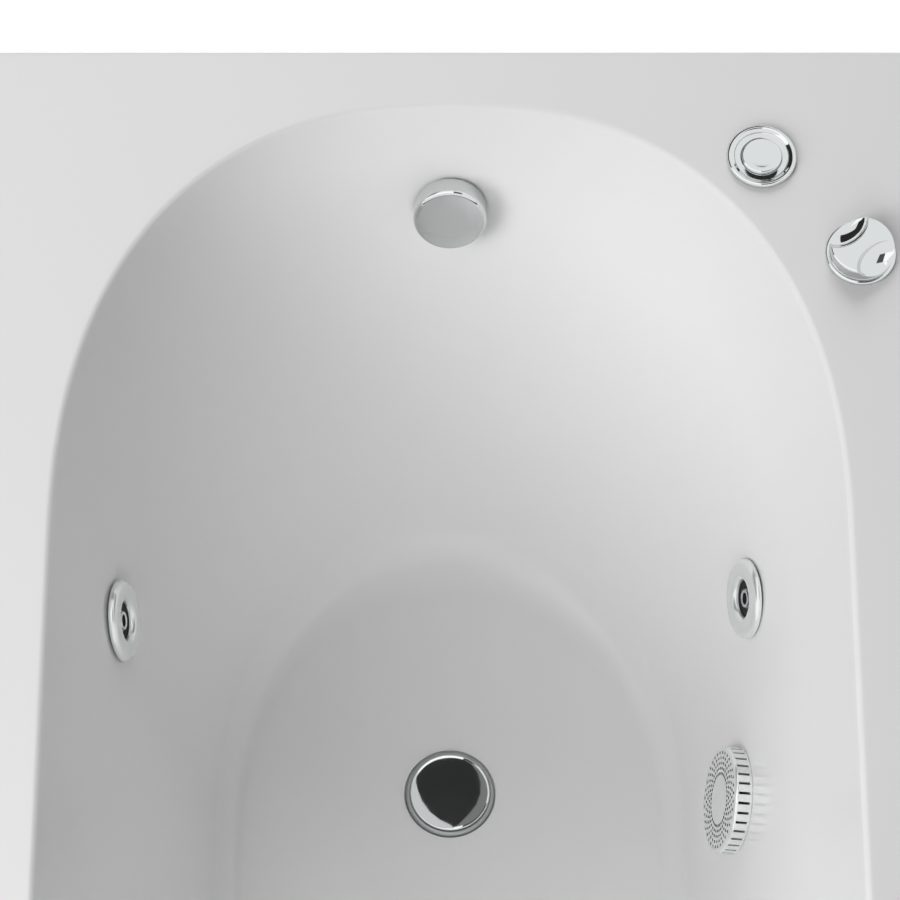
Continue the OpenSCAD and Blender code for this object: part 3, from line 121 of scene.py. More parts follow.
class ShellSettings(bpy.types.PropertyGroup):
    """Sizes of the acrylic shell"""
    side_deck: length("Side deck", "Width of the deck beside the basin", 66)
    foot_deck: length("Waste end deck", "Width of the deck at the waste end", 46)
    head_deck: length("Backrest deck", "Width of the deck at the backrest end", 44)
    depth: length("Basin depth", "Depth of the basin below the deck", 410)
    side_lean: lean("Side lean", "Lean of the side walls from upright", 14)
    foot_lean: lean("Waste end lean", "Lean of the waste end's wall from upright", 25)
    head_lean: lean("Backrest lean", "Lean of the backrest from upright", 36)
    rim_r: length("Rim radius", "Radius of the edge where the deck turns into the basin", 5)
    side_fillet: length("Side fillet", "Radius between the side walls and the floor", 24)
    foot_fillet: length("Waste end fillet", "Radius between the waste end's wall and the floor", 65)
    head_fillet: length("Backrest fillet", "Radius between the backrest and the floor", 120)
    foot_rim: length("Waste end rim", "Length of the round end of the rim at the waste", 394)
    foot_floor: length("Waste end floor", "Distance from the waste end to the floor's straight sides", 476)
    head_rim: length("Backrest rim", "Length of the round end of the rim at the backrest", 420)
    head_floor: length("Backrest floor", "Distance from the backrest end to the floor's straight sides", 635)
    rim_power: FloatProperty(name="Rim squareness", description="Squareness of the rim's round ends",
                             default=2.35, min=2.0, max=3.0)
    floor_power: FloatProperty(name="Floor squareness", description="Squareness of the floor's round ends",
                               default=2.1, min=2.0, max=3.0)
    corner_r: length("Corner radius", "Radius of the deck's corners in plan", 7)
    edge_r: length("Edge radius", "Radius of the deck's outer top edge", 3)
    skirt: length("Skirt", "Height of the skirt that turns down round the deck", 40)
    wall: length("Wall", "Thickness of the acrylic with its backing", 6)
    acrylic: colour("Acrylic", "Colour of the polished acrylic", "#E9E9E9")
    laminate: colour("Backing", "Colour of the glass-fibre backing", "#CFC8B4")


class FittingSettings(bpy.types.PropertyGroup):
    """Sizes and colours of the fittings that show"""
    knob_r: length("Overflow knob radius", "Radius of the overflow knob", 28)
    knob_l: length("Overflow knob length", "Length of the overflow knob", 17)
    flange_r: length("Waste flange radius", "Radius of the waste flange", 36)
    plug_r: length("Plug radius", "Radius of the pop-up plug", 32)
    jet_r: length("Jet radius", "Radius of a jet's face ring", 30.5)
    ball_r: length("Nozzle radius", "Radius of a jet's ball nozzle", 12)
    suction_r: length("Grille radius", "Radius of the suction grille", 41)
    control_r: length("Control radius", "Radius of the deck controls' bezels", 26)
    button_r: length("Button radius", "Radius of the push button", 15)
    air_r: length("Air knob radius", "Radius of the air control's knob", 23.6)
    grille_slots: IntProperty(name="Edge slots", description="Slots round the grille's edge", default=34)
    grille_holes: IntProperty(name="Ring holes", description="Holes in each ring of the grille", default=36)
    chrome: colour("Chrome", "Colour of the chrome plate", "#DADDDD")
    satin: colour("Satin chrome", "Colour of the satin fittings", "#F2F4F4")
    brushed: colour("Brushed chrome", "Colour of the waste flange", "#ABAFAF")
    plastic: colour("Grey plastic", "Colour of the moulded fittings behind the shell", "#8D9296")
    rubber: colour("Rubber", "Colour of the seals and rubber hoses", "#26272A")
    pipe: colour("Pipe", "Colour of the white pipe and hoses", "#D9DBDC")


class SupportSettings(bpy.types.PropertyGroup):
    """Sizes and colours of the frame, feet and pump"""
    tube: length("Frame tube", "Side of the square frame tubes", 30)
    tube_wall: length("Tube wall", "Wall of the square frame tubes", 2)
    post: length("Post", "Side of the square posts", 20)
    stud_r: length("Stud radius", "Radius of a foot's stud", 6)
    pitch: length("Thread pitch", "Pitch of the studs' thread", 1.75)
    zinc: colour("Zinc", "Colour of the galvanised tubes", "#A7ABAE")
    bright: colour("Bright zinc", "Colour of the plated studs, bolts and clips", "#C3C6C4")
    timber: colour("Timber", "Colour of the planed battens", "#D2B283")
    nylon: colour("Nylon", "Colour of the feet", "#2E3033")
    motor: colour("Motor paint", "Colour of the motor's enamel", "#3E4A57")
    pump: colour("Pump plastic", "Colour of the pump housing", "#2B2F33")


class StudioSettings(bpy.types.PropertyGroup):
    """Camera and lamps"""
    camera_back: metres("Camera back", "Distance of the camera from the bath's middle", -0.5765)
    camera_up: metres("Camera height", "Height of the camera above the deck", 2.4664)
    camera_tilt: lean("Camera tilt", "Turn of the camera from straight down", 24)
    lens: FloatProperty(name="Lens", description="Focal length on a 36 mm sensor, in mm", default=150.77)
    key_power: watts("Key light", "low on the left", 48.0)
    high_power: watts("High light", "high on the left", 21.0)
    far_power: watts("Far light", "past the waste end", 39.0)
    near_power: watts("Near light", "past the backrest", 25.0)
    side_power: watts("Side light", "on the right", 0.8)
    sky: FloatProperty(name="Surroundings", description="Strength of the light from all round", default=0.1)


# Modelling helpers


def focus(obj=None):
    """Selects one object alone, or nothing, in object mode"""
    active = bpy.context.view_layer.objects.active
    if active and active.mode != "OBJECT":
        bpy.ops.object.mode_set(mode="OBJECT")
    bpy.ops.object.select_all(action="DESELECT")
    if obj:
        obj.select_set(True)
        bpy.context.view_layer.objects.active = obj


def named(name):
    """The object that an operator has just added, with its name"""
    obj = bpy.context.object
    obj.name = obj.data.name = name
    return obj


@contextmanager
def editing(obj, kind="VERT"):
    """Edit mode on one object, with nothing selected"""
    focus(obj)
    bpy.ops.object.mode_set(mode="EDIT")
    bpy.ops.mesh.select_mode(type=kind)
    bpy.ops.mesh.select_all(action="DESELECT")
    yield
    bpy.ops.object.mode_set(mode="OBJECT")


def pick(obj, kind, test):
    """Selects the vertices, edges or faces that pass a test, in edit mode"""
    bpy.ops.mesh.select_mode(type=kind)
    mesh = bmesh.from_edit_mesh(obj.data)
    for item in {"VERT": mesh.verts, "EDGE": mesh.edges, "FACE": mesh.faces}[kind]:
        item.select_set(bool(test(item)))
    mesh.select_flush_mode()
    bmesh.update_edit_mesh(obj.data)


def moved(obj, spots):
    """Moves the vertices of a mesh to their places in metres, in order"""
    for vertex, spot in zip(obj.data.vertices, spots):
        vertex.co = spot


def merge():
    """Merges what lies together and turns the faces outward, in edit mode"""
    bpy.ops.mesh.select_all(action="SELECT")
    bpy.ops.mesh.remove_doubles(threshold=1e-6)
    bpy.ops.mesh.normals_make_consistent(inside=False)


def shaped(obj, kind, **settings):
    """Adds a modifier with its settings and applies it"""
    focus(obj)
    modifier = obj.modifiers.new("shape", kind)
    for key, value in settings.items():
        setattr(modifier, key, value)
    bpy.ops.object.modifier_apply(modifier=modifier.name)
    return obj


def softened(obj, mm, segments=2, angle=35):
    """Rounds the edges that are sharper than an angle in degrees"""
    return shaped(obj, "BEVEL", width=mm * MM, segments=segments, limit_method="ANGLE",
                  angle_limit=math.radians(angle))


def cut(obj, cutter, operation="DIFFERENCE"):
    """Cuts one piece with another, which is used up"""
    shaped(obj, "BOOLEAN", object=cutter, operation=operation, solver="EXACT")
    bpy.data.objects.remove(cutter)
    return obj


def joined(name, parts):
    """Several meshes made into one object"""
    focus(parts[0])
    for part in parts:
        part.select_set(True)
    if len(parts) > 1:
        bpy.ops.object.join()
    return named(name)


def placed(obj, matrix):
    """Moves a mesh to its seat, with the object left at the origin"""
    focus(obj)
    obj.matrix_world = matrix
    bpy.ops.object.transform_apply(location=True, rotation=True, scale=True)
    return obj


def copied(obj, name):
    """A copy of a piece with a mesh of its own"""
    focus(obj)
    bpy.ops.object.duplicate()
    return named(name)


def turned(name, profile, steps=96):
    """A turned piece: a circle's points pulled onto a profile of (radius, height) in mm, spun about Z"""
    focus()
    bpy.ops.mesh.primitive_circle_add(vertices=len(profile), fill_type="NOTHING")
    obj = named(name)
    moved(obj, [(r * MM, 0, z * MM) for r, z in profile])
    with editing(obj):
        pick(obj, "EDGE", lambda e: all(v.co.x < 1e-7 for v in e.verts))
        bpy.ops.mesh.delete(type="EDGE")
        bpy.ops.mesh.select_all(action="SELECT")
        bpy.ops.mesh.spin(steps=steps, angle=FULL_TURN, center=(0, 0, 0), axis=(0, 0, 1))
        merge()
    return obj


def arc(r, z, radius, start, end, steps=8):
    """Points of a profile's arc round (r, z), with its angles in degrees from straight out"""
    turns = [math.radians(start + (end - start) * k / steps) for k in range(steps + 1)]
    return [(r + radius * math.cos(t), z + radius * math.sin(t)) for t in turns]


def block(name, low, high):
    """A box between two corners in metres"""
    focus()
    low, high = Vector(low), Vector(high)
    bpy.ops.mesh.primitive_cube_add(size=1, location=(low + high) / 2, scale=high - low)
    obj = named(name)
    bpy.ops.object.transform_apply(location=True, rotation=True, scale=True)
    return obj


def rod(name, start, end, radius, sides=48):
    """A cylinder between two points in metres"""
    focus()
    start, end = Vector(start), Vector(end)
    along = end - start
    bpy.ops.mesh.primitive_cylinder_add(vertices=sides, radius=radius, depth=along.length)
    obj = named(name)
    turn = along.to_track_quat("Z", "Y").to_matrix().to_4x4()
    return placed(obj, Matrix.Translation((start + end) / 2) @ turn)


def lofted(name, rings):
    """A grid draped over closed rings of points, with its seam merged"""
    focus()
    bpy.ops.mesh.primitive_grid_add(x_subdivisions=len(rings[0]), y_subdivisions=len(rings) - 1)
    obj = named(name)
    moved(obj, [spot for ring in rings for spot in (*ring, ring[0])])
    with editing(obj):
        bpy.ops.mesh.select_all(action="SELECT")
        bpy.ops.mesh.remove_doubles(threshold=1e-6)
    return obj


def dress(obj, body, slot, *nodes, finish=None, smooth=35):
    """Gives a finished piece its slot's finish or another, its smooth faces and its place on a body"""
    focus(obj)
    obj.data.materials.clear()
    obj.data.materials.append(look(finish or slot))
    bpy.ops.object.shade_smooth_by_angle(angle=math.radians(smooth))
    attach(obj, body)
    if nodes:
        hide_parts(*nodes)
    return obj


def painted_shade_inside(obj, seat, radius, height):
    """Paints the inside of a fitting black as painted shade in its bore and hollow, within a radius and below a
    height in mm on its seat
    """
    obj.data.materials.append(look("black_rubber"))
    for face in obj.data.polygons:
        spot = seat.inverted() @ face.center
        inside = math.hypot(spot.x, spot.y) < radius * MM and spot.z < height * MM
        face.material_index = int(inside)


def seat_on(point, normal):
    """A seat's matrix: X along the wall, Y up it, and Z out of it into the basin"""
    n = Vector(normal).normalized()
    along = Vector((0, 0, 1)).cross(n)
    along = along.normalized() if along.length > 1e-6 else Vector((1, 0, 0))
    seat = Matrix((along, n.cross(along), n)).transposed().to_4x4()
    seat.translation = point
    return seat


def joint_seat(name):
    """The seat of the joint with that name"""
    return seat_on(Vector(JOINTS[name]["pos_m"]), JOINTS[name]["axis"])


def top_seat(node, z):
    """An upright seat at a height, over the middle of a CAD node"""
    low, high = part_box(node)
    return Matrix.Translation(((low.x + high.x) / 2, (low.y + high.y) / 2, z))


# Materials


def add_node(tree, kind, values=None, links=None, **settings):
    """Adds a node with its own settings, the values of its sockets and what feeds them"""
    made = tree.nodes.new(kind)
    for key, value in settings.items():
        setattr(made, key, value)
    for key, value in (values or {}).items():
        made.inputs[key].default_value = value
    for key, (source, output) in (links or {}).items():
        tree.links.new(source.outputs[output], made.inputs[key])
    return made


def new_material(name):
    """A new material and its node tree"""
    made = bpy.data.materials.new(name)
    made.use_nodes = True
    return made, made.node_tree


def material(name, **constants):
    """The tree, the Principled shader with its constants and the piece's own coordinates of a new material"""
    tree = new_material(name)[1]
    shader = tree.nodes["Principled BSDF"]
    for key, value in constants.items():
        socket = shader.inputs[key.replace("_", " ").title().replace("Ior", "IOR")]
        socket.default_value = (*value, 1.0) if hasattr(value, "__len__") and len(value) == 3 else value
    place = add_node(tree, "ShaderNodeTexCoord")
    return tree, shader, place


def noise(tree, place, mm, detail=3.0, **values):
    """Settings of a noise whose grains are that many millimetres across"""
    return add_node(tree, "ShaderNodeTexNoise", {"Scale": 1 / (mm * MM), "Detail": detail, **values},
                    {"Vector": (place, "Object")})


def worked(tree, operation, first, second):
    """The output of a math node, from two numbers or outputs given as (node, name)"""
    made = add_node(tree, "ShaderNodeMath", operation=operation)
    for socket, part in zip(made.inputs, (first, second)):
        if isinstance(part, tuple):
            tree.links.new(part[0].outputs[part[1]], socket)
        else:
            socket.default_value = part
    return made, "Value"


def bumped(tree, shader, source, output, depth_mm):
    """Relief of that depth in millimetres from a pattern"""
    bump = add_node(tree, "ShaderNodeBump", {"Strength": 1.0, "Distance": depth_mm * MM},
                    {"Height": (source, output)})
    tree.links.new(bump.outputs["Normal"], shader.inputs["Normal"])


def roughened(tree, shader, source, low, high):
    """Roughness that runs between two values with a noise"""
    span = {"From Min": 0.3, "From Max": 0.7, "To Min": low, "To Max": high}
    rough = add_node(tree, "ShaderNodeMapRange", span, {"Value": (source, "Fac")})
    tree.links.new(rough.outputs["Result"], shader.inputs["Roughness"])


def mixed(tree, low, high, source, output):
    """Two colours mixed by a pattern"""
    return add_node(tree, "ShaderNodeMix", {"A": (*low, 1.0), "B": (*high, 1.0)},
                    {"Factor": (source, output)}, data_type="RGBA")


def coloured(tree, shader, low, high, source, output):
    """The base colour as two colours mixed by a pattern"""
    shade = mixed(tree, low, high, source, output)
    tree.links.new(shade.outputs["Result"], shader.inputs["Base Color"])


def dimmed(code, share):
    """A share of a colour"""
    return tuple(c * share for c in code)


def acrylic(name, code):
    """Cast acrylic sheet, vacuum formed and polished: a deep gloss over the faint waves of the mould"""
    tree, shader, place = material(name, base_color=code, ior=1.49, specular_ior_level=0.35)
    roughened(tree, shader, noise(tree, place, 90, 2.0), 0.15, 0.2)
    bumped(tree, shader, noise(tree, place, 45, 1.0), "Fac", 0.06)


def laminate(name, code):
    """Glass-fibre laminate sprayed on by hand: matt resin with chopped strands showing through"""
    tree, shader, place = material(name, ior=1.52, roughness=0.55)
    pale = tuple(min(1.0, c * 1.18) for c in code)
    coloured(tree, shader, code, pale, noise(tree, place, 60, 4.0), "Fac")
    bumped(tree, shader, noise(tree, place, 5, 6.0, Roughness=0.7, Distortion=1.5), "Fac", 0.9)


def plated(name, code, metallic, haze_mm, detail, low, high):
    """Chrome plate: a mirror with a faint haze, or blasted or brushed so that it scatters"""
    tree, shader, place = material(name, base_color=code, metallic=metallic)
    roughened(tree, shader, noise(tree, place, haze_mm, detail), low, high)


def moulded(name, code, rough, grain_mm, depth_mm):
    """Moulded plastic: an even colour with a fine spark-eroded grain"""
    tree, shader, place = material(name, ior=1.53)
    cloud = noise(tree, place, 25, 3.0)
    coloured(tree, shader, dimmed(code, 0.86), code, cloud, "Fac")
    roughened(tree, shader, cloud, rough - 0.05, rough + 0.05)
    bumped(tree, shader, noise(tree, place, grain_mm, 2.0), "Fac", depth_mm)


def zinc(name, code, spangle_mm, low, high):
    """Zinc on steel, hot-dipped or plated: dull metal with crystals that catch the light by turns"""
    tree, shader, place = material(name, metallic=1.0)
    crystals = add_node(tree, "ShaderNodeTexVoronoi", {"Scale": 1 / (spangle_mm * MM)},
                        {"Vector": (place, "Object")})
    tone = add_node(tree, "ShaderNodeSeparateColor", links={"Color": (crystals, "Color")})
    coloured(tree, shader, dimmed(code, 0.72), code, tone, "Red")
    gloss = add_node(tree, "ShaderNodeMapRange", {"To Min": low, "To Max": high}, {"Value": (tone, "Green")})
    tree.links.new(gloss.outputs["Result"], shader.inputs["Roughness"])


def timber(name, code):
    """Planed softwood: growth rings drawn out along the batten, with darker latewood lines"""
    tree, shader, place = material(name, roughness=0.6)
    stretch = add_node(tree, "ShaderNodeMapping", {"Scale": (1.0, 0.06, 1.0)}, {"Vector": (place, "Object")})
    drawn = {"Vector": (stretch, "Vector")}
    sway = add_node(tree, "ShaderNodeTexNoise", {"Scale": 30.0, "Detail": 3.0}, drawn)
    rings = add_node(tree, "ShaderNodeTexWave",
                     {"Scale": 95.0, "Distortion": 5.0, "Detail": 3.0, "Detail Scale": 0.6}, drawn,
                     wave_type="BANDS", bands_direction="X")
    late = tuple(c * f for c, f in zip(code, (0.62, 0.5, 0.4)))
    grain = mixed(tree, code, late, rings, "Fac")
    tint = add_node(tree, "ShaderNodeMix", {"B": (*code, 1.0)},
                    {"Factor": (sway, "Fac"), "A": (grain, "Result")}, data_type="RGBA")
    tree.links.new(tint.outputs["Result"], shader.inputs["Base Color"])
    bumped(tree, shader, rings, "Fac", 0.15)


def chipboard(name, code):
    """Chipboard: pressed flakes of light and dark wood, 3 mm across"""
    tree, shader, place = material(name, roughness=0.7)
    flakes = add_node(tree, "ShaderNodeTexVoronoi", {"Scale": 1 / (3 * MM), "Randomness": 1.0},
                      {"Vector": (place, "Object")})
    tone = add_node(tree, "ShaderNodeSeparateColor", links={"Color": (flakes, "Color")})
    coloured(tree, shader, dimmed(code, 0.5), code, tone, "Red")
    bumped(tree, shader, flakes, "Distance", 0.3)


def enamel(name, code):
    """Stoved enamel on cast aluminium: a satin coat that keeps the casting's orange peel"""
    tree, shader, place = material(name, base_color=code, roughness=0.38, coat_weight=0.3,
                                   coat_roughness=0.25)
    bumped(tree, shader, noise(tree, place, 2.2, 2.0), "Fac", 0.12)


# Finishes: name of the material, its maker, group and name of its colour, and the maker's values

FINISHES = {
    "acrylic": ("polished_acrylic", acrylic, "bath_shell", "acrylic"),
    "laminate": ("sprayed_laminate", laminate, "bath_shell", "laminate"),
    "chrome": ("chrome_plate", plated, "bath_fittings", "chrome", 1.0, 14, 4.0, 0.035, 0.07),
    "satin_chrome": ("satin_chrome", plated, "bath_fittings", "satin", 0.6, 9, 2.0, 0.12, 0.16),
    "brushed_chrome": ("brushed_chrome", plated, "bath_fittings", "brushed", 0.6, 9, 2.0, 0.36, 0.42),
    "grey_plastic": ("moulded_abs", moulded, "bath_fittings", "plastic", 0.42, 0.8, 0.02),
    "black_rubber": ("moulded_rubber", moulded, "bath_fittings", "rubber", 0.62, 0.6, 0.03),
    "white_pipe": ("extruded_pvc", moulded, "bath_fittings", "pipe", 0.3, 6.0, 0.03),
    "timber": ("planed_softwood", timber, "bath_support", "timber"),
    "chipboard": ("pressed_chipboard", chipboard, "bath_support", "timber"),
    "zinc_steel": ("galvanised_steel", zinc, "bath_support", "zinc", 7, 0.32, 0.5),
    "bright_zinc": ("bright_zinc_plate", zinc, "bath_support", "bright", 2.0, 0.22, 0.34),
    "foot_plastic": ("moulded_nylon", moulded, "bath_support", "nylon", 0.45, 0.7, 0.03),
    "motor_paint": ("stoved_enamel", enamel, "bath_support", "motor"),
    "pump_plastic": ("glass_filled_plastic", moulded, "bath_support", "pump", 0.5, 1.2, 0.05),
}


def look(key):
    """The material of a finish, made once"""
    name, make, settings, setting, *values = FINISHES[key]
    if name not in bpy.data.materials:
        make(name, getattr(getattr(bpy.context.scene, settings), setting), *values)
    return bpy.data.materials[name]


# Basin shape: wall profiles at the side, the waste end and the backrest, swept round the plan

END_STEPS, SIDE_STEPS = 56, 14
FILLET_STEPS, RIM_STEPS, EDGE_STEPS = 16, 10, 6
FLOOR_SHARES = (0.55, 0.8, 0.97)
WALL_SHARES = (0.03, 0.12, 0.24, 0.36, 0.48, 0.6, 0.72, 0.84, 0.93, 0.985)
DECK_SHARES = (0.04, 0.35, 0.65, 0.96)
SKIRT_SHARES = (0.06, 0.5, 0.96, 1)
FLOOR_MIDDLE = 0.13


def rim_point(s, lean_angle, share):
    """Point of the rounded rim, as (in from the rim line, down from the deck)"""
    turn = (RIGHT_ANGLE - lean_angle) * share
    reach = s.rim_r * math.tan((RIGHT_ANGLE - lean_angle) / 2)
    return s.rim_r * math.sin(turn) - reach, s.rim_r * (1 - math.cos(turn))


def fillet_point(s, lean_angle, radius, share):
    """Point of the round between a wall and the floor"""
    turn = lean_angle + (RIGHT_ANGLE - lean_angle) * share
    reach = radius * math.tan((RIGHT_ANGLE - lean_angle) / 2)
    across = s.depth * math.tan(lean_angle) + reach - radius * math.cos(turn)
    return across, s.depth - radius * (1 - math.sin(turn))


def rim_station(s, share):
    """The rim's three profile points with its plan's tangents and squareness"""
    return ([rim_point(s, a, share) for a in (s.side_lean, s.foot_lean, s.head_lean)],
            HALF_L - s.foot_rim, s.head_rim - HALF_L, s.rim_power)


def fillet_station(s, share):
    """The fillet's three profile points with its plan's tangents and squareness"""
    walls = ((s.side_lean, s.side_fillet), (s.foot_lean, s.foot_fillet), (s.head_lean, s.head_fillet))
    return ([fillet_point(s, a, r, share) for a, r in walls],
            HALF_L - s.foot_floor, s.head_floor - HALF_L, s.floor_power)


def basin_point(s, station, turn, end, side):
    """Point of a station at a turn from 0 at the end's middle to a right angle at the side"""
    (flank, foot, head), foot_tangent, head_tangent, power = station
    own, tangent = (foot, foot_tangent) if end > 0 else (head, head_tangent)
    apex = HALF_L - s.foot_deck - own[0] if end > 0 else s.head_deck - HALF_L + own[0]
    out = max(0.0, math.sin(turn)) ** (2 / power)
    on = max(0.0, math.cos(turn)) ** (2 / power)
    blend = max(0.0, math.cos(turn)) ** 2
    return Vector((side * (HALF_W - s.side_deck - flank[0]) * out,
                   tangent + (apex - tangent) * on,
                   DECK_Z - flank[1] - (own[1] - flank[1]) * blend))


def closed_ring(point):
    """A ring of points round both ends and along both sides, from a function of (step, end, side)"""
    ends = []
    for end in (1, -1):
        half = [point(k, end, end) for k in range(END_STEPS, -1, -1)]
        half += [point(k, end, -end) for k in range(1, END_STEPS + 1)]
        ends.append(half)
    sides = []
    for start, stop in ((ends[0][-1], ends[1][0]), (ends[1][-1], ends[0][0])):
        sides.append([start.lerp(stop, k / SIDE_STEPS) for k in range(1, SIDE_STEPS)])
    return ends[0] + sides[0] + ends[1] + sides[1]


def basin_ring(s, station):
    """The ring of a station of the basin"""
    return closed_ring(lambda k, end, side: basin_point(s, station, RIGHT_ANGLE * k / END_STEPS, end, side))


def outline_ring(s, inset, z):
    """The deck's rounded rectangle, set in and at a height"""
    w, l, r = HALF_W - inset, HALF_L - inset, s.corner_r - inset
    flat, corner = 20, 18

    def point(k, end, side):
        tangent = HALF_L - (s.foot_rim if end > 0 else s.head_rim)
        if k <= flat:
            x, y = (w - r) * k / flat, l
        elif k <= flat + corner:
            turn = RIGHT_ANGLE * (k - flat) / corner
            x, y = w - r + r * math.sin(turn), l - r + r * math.cos(turn)
        else:
            share = (k - flat - corner) / (END_STEPS - flat - corner)
            x, y = w, l - r + (tangent - l + r) * share
        return Vector((side * x, end * y, z))

    return closed_ring(point)


def blended(ring, other, share):
    """The ring that lies a share of the way from one to another"""
    return [a.lerp(b, share) for a, b in zip(ring, other)]


def stepped_hole(hole, front, back, wall, seat):
    """Cutter for a hole through the shell with a spot face on both sides, radii and wall in mm"""
    deep = 30
    return placed(turned("cutter", [(0, -deep), (back, -deep), (back, -wall), (hole, -wall), (hole, 0),
                                    (front, 0), (front, deep), (0, deep)], 64), seat)


# Heights of the grille over its seat and depth of the waste's recess, in mm

GRILLE_LOW, GRILLE_HIGH = 1.5, 15.0
WASTE_RECESS = 2.5


def suction_seat(s):
    """Seat of the suction grille, 1 mm below the wall's face"""
    low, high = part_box("suction_grille")
    n = Vector((-math.cos(s.side_lean), 0, math.sin(s.side_lean)))
    middle = (low + high) / 2
    mid_height = (GRILLE_LOW + GRILLE_HIGH) / 2 * MM
    return seat_on(middle - n * mid_height, n)


class BATH_OT_acrylic_shell(bpy.types.Operator):
    """Form the acrylic shell: deck, basin and skirt, with its fibre backing and all its holes"""
    bl_idname = "bath.acrylic_shell"
    bl_label = "Acrylic shell"

    def execute(self, context):
        s = context.scene.bath_shell
        f = context.scene.bath_fittings
        fillets = [basin_ring(s, fillet_station(s, 1 - k / FILLET_STEPS)) for k in range(FILLET_STEPS + 1)]
        rims = [basin_ring(s, rim_station(s, 1 - k / RIM_STEPS)) for k in range(RIM_STEPS + 1)]
        walls = [blended(fillets[-1], rims[0], k) for k in WALL_SHARES]
        middle = Vector((0, FLOOR_MIDDLE, DECK_Z - s.depth))
        floor = [blended([middle] * len(rims[0]), fillets[0], k) for k in FLOOR_SHARES]
        edges = [outline_ring(s, s.edge_r * (1 - math.sin(t)), DECK_Z - s.edge_r * (1 - math.cos(t)))
                 for t in (RIGHT_ANGLE * k / EDGE_STEPS for k in range(EDGE_STEPS + 1))]
        deck = [blended(rims[-1], edges[0], k) for k in DECK_SHARES]
        skirt = [blended(edges[-1], outline_ring(s, 0, DECK_Z - s.skirt), k) for k in SKIRT_SHARES]
        shell = lofted("acrylic_shell", floor + fillets + walls + rims + deck + edges + skirt)
        with editing(shell):
            pick(shell, "EDGE", lambda e: e.is_boundary and e.verts[0].co.z < middle.z + MM)
            bpy.ops.mesh.edge_face_add()
            bpy.ops.mesh.select_all(action="SELECT")
            bpy.ops.mesh.normals_make_consistent(inside=False)
        top = next(p for p in shell.data.polygons if abs(p.center.z - DECK_Z) < 1e-5)
        if top.normal.z < 0:
            with editing(shell):
                bpy.ops.mesh.select_all(action="SELECT")
                bpy.ops.mesh.flip_normals()
        for finish in ("acrylic", "laminate"):
            shell.data.materials.append(look(finish))
        shaped(shell, "SOLIDIFY", thickness=s.wall, offset=-1, use_even_offset=True, material_offset=1)
        back_spot, jet_lap, lap = 2, 2, 2.2
        wall = s.wall / MM - back_spot
        holes = [(20, f.jet_r / MM - jet_lap, 26.8, wall, joint_seat(f"ring_turn_{n}")) for n in JETS]
        holes.append((27, f.suction_r / MM - lap, 35.8, wall, suction_seat(s)))
        holes.append((20, f.knob_r / MM - lap, 27.8, wall, joint_seat("overflow_turn")))
        cutters = [stepped_hole(*hole) for hole in holes]
        for node in ("button_bezel", "air_bezel"):
            hole = turned("cutter", [(0, -9), (18, -9), (18, 5), (0, 5)], 64)
            cutters.append(placed(hole, top_seat(node, DECK_Z)))
        seat = top_seat("waste_flange", DECK_Z - s.depth - WASTE_RECESS * MM)
        flange = f.flange_r / MM + 0.8
        hole = turned("cutter", [(0, -9), (26, -9), (26, 0), (flange, 0), (flange, 4), (0, 4)], 96)
        cutters.append(placed(hole, seat))
        cut(shell, joined("cutters", cutters))
        focus(shell)
        bpy.ops.object.shade_smooth_by_angle(angle=math.radians(30))
        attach(shell, "bath")
        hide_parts("bath_shell")
        return {"FINISHED"}


# Fittings that show, with their profiles in mm from their seats


class BATH_OT_overflow(bpy.types.Operator):
    """Turn the overflow knob, with its spindle and stop disc"""
    bl_idname = "bath.overflow"
    bl_label = "Overflow knob"

    def execute(self, context):
        f = context.scene.bath_fittings
        r, back = f.knob_r / MM, 3.5
        front, round_r = back + f.knob_l / MM, 4.0
        profile = [(0, -25), (9.6, -25), (10, -24.6), (10, -21.4), (9.6, -21), (4, -21), (4, front - 3),
                   (r - 3, front - 6), (r - 3, back), (r - 0.7, back),
                   *arc(r - 0.7, back + 0.7, 0.7, -90, 0, 4),
                   *arc(r - round_r, front - round_r, round_r, 0, 84, 16), (r * 0.4, front), (0, front)]
        knob = placed(turned("overflow_knob_cap", profile, 128), joint_seat("overflow_turn"))
        dress(knob, "overflow_knob", "chrome", "overflow_knob")
        return {"FINISHED"}


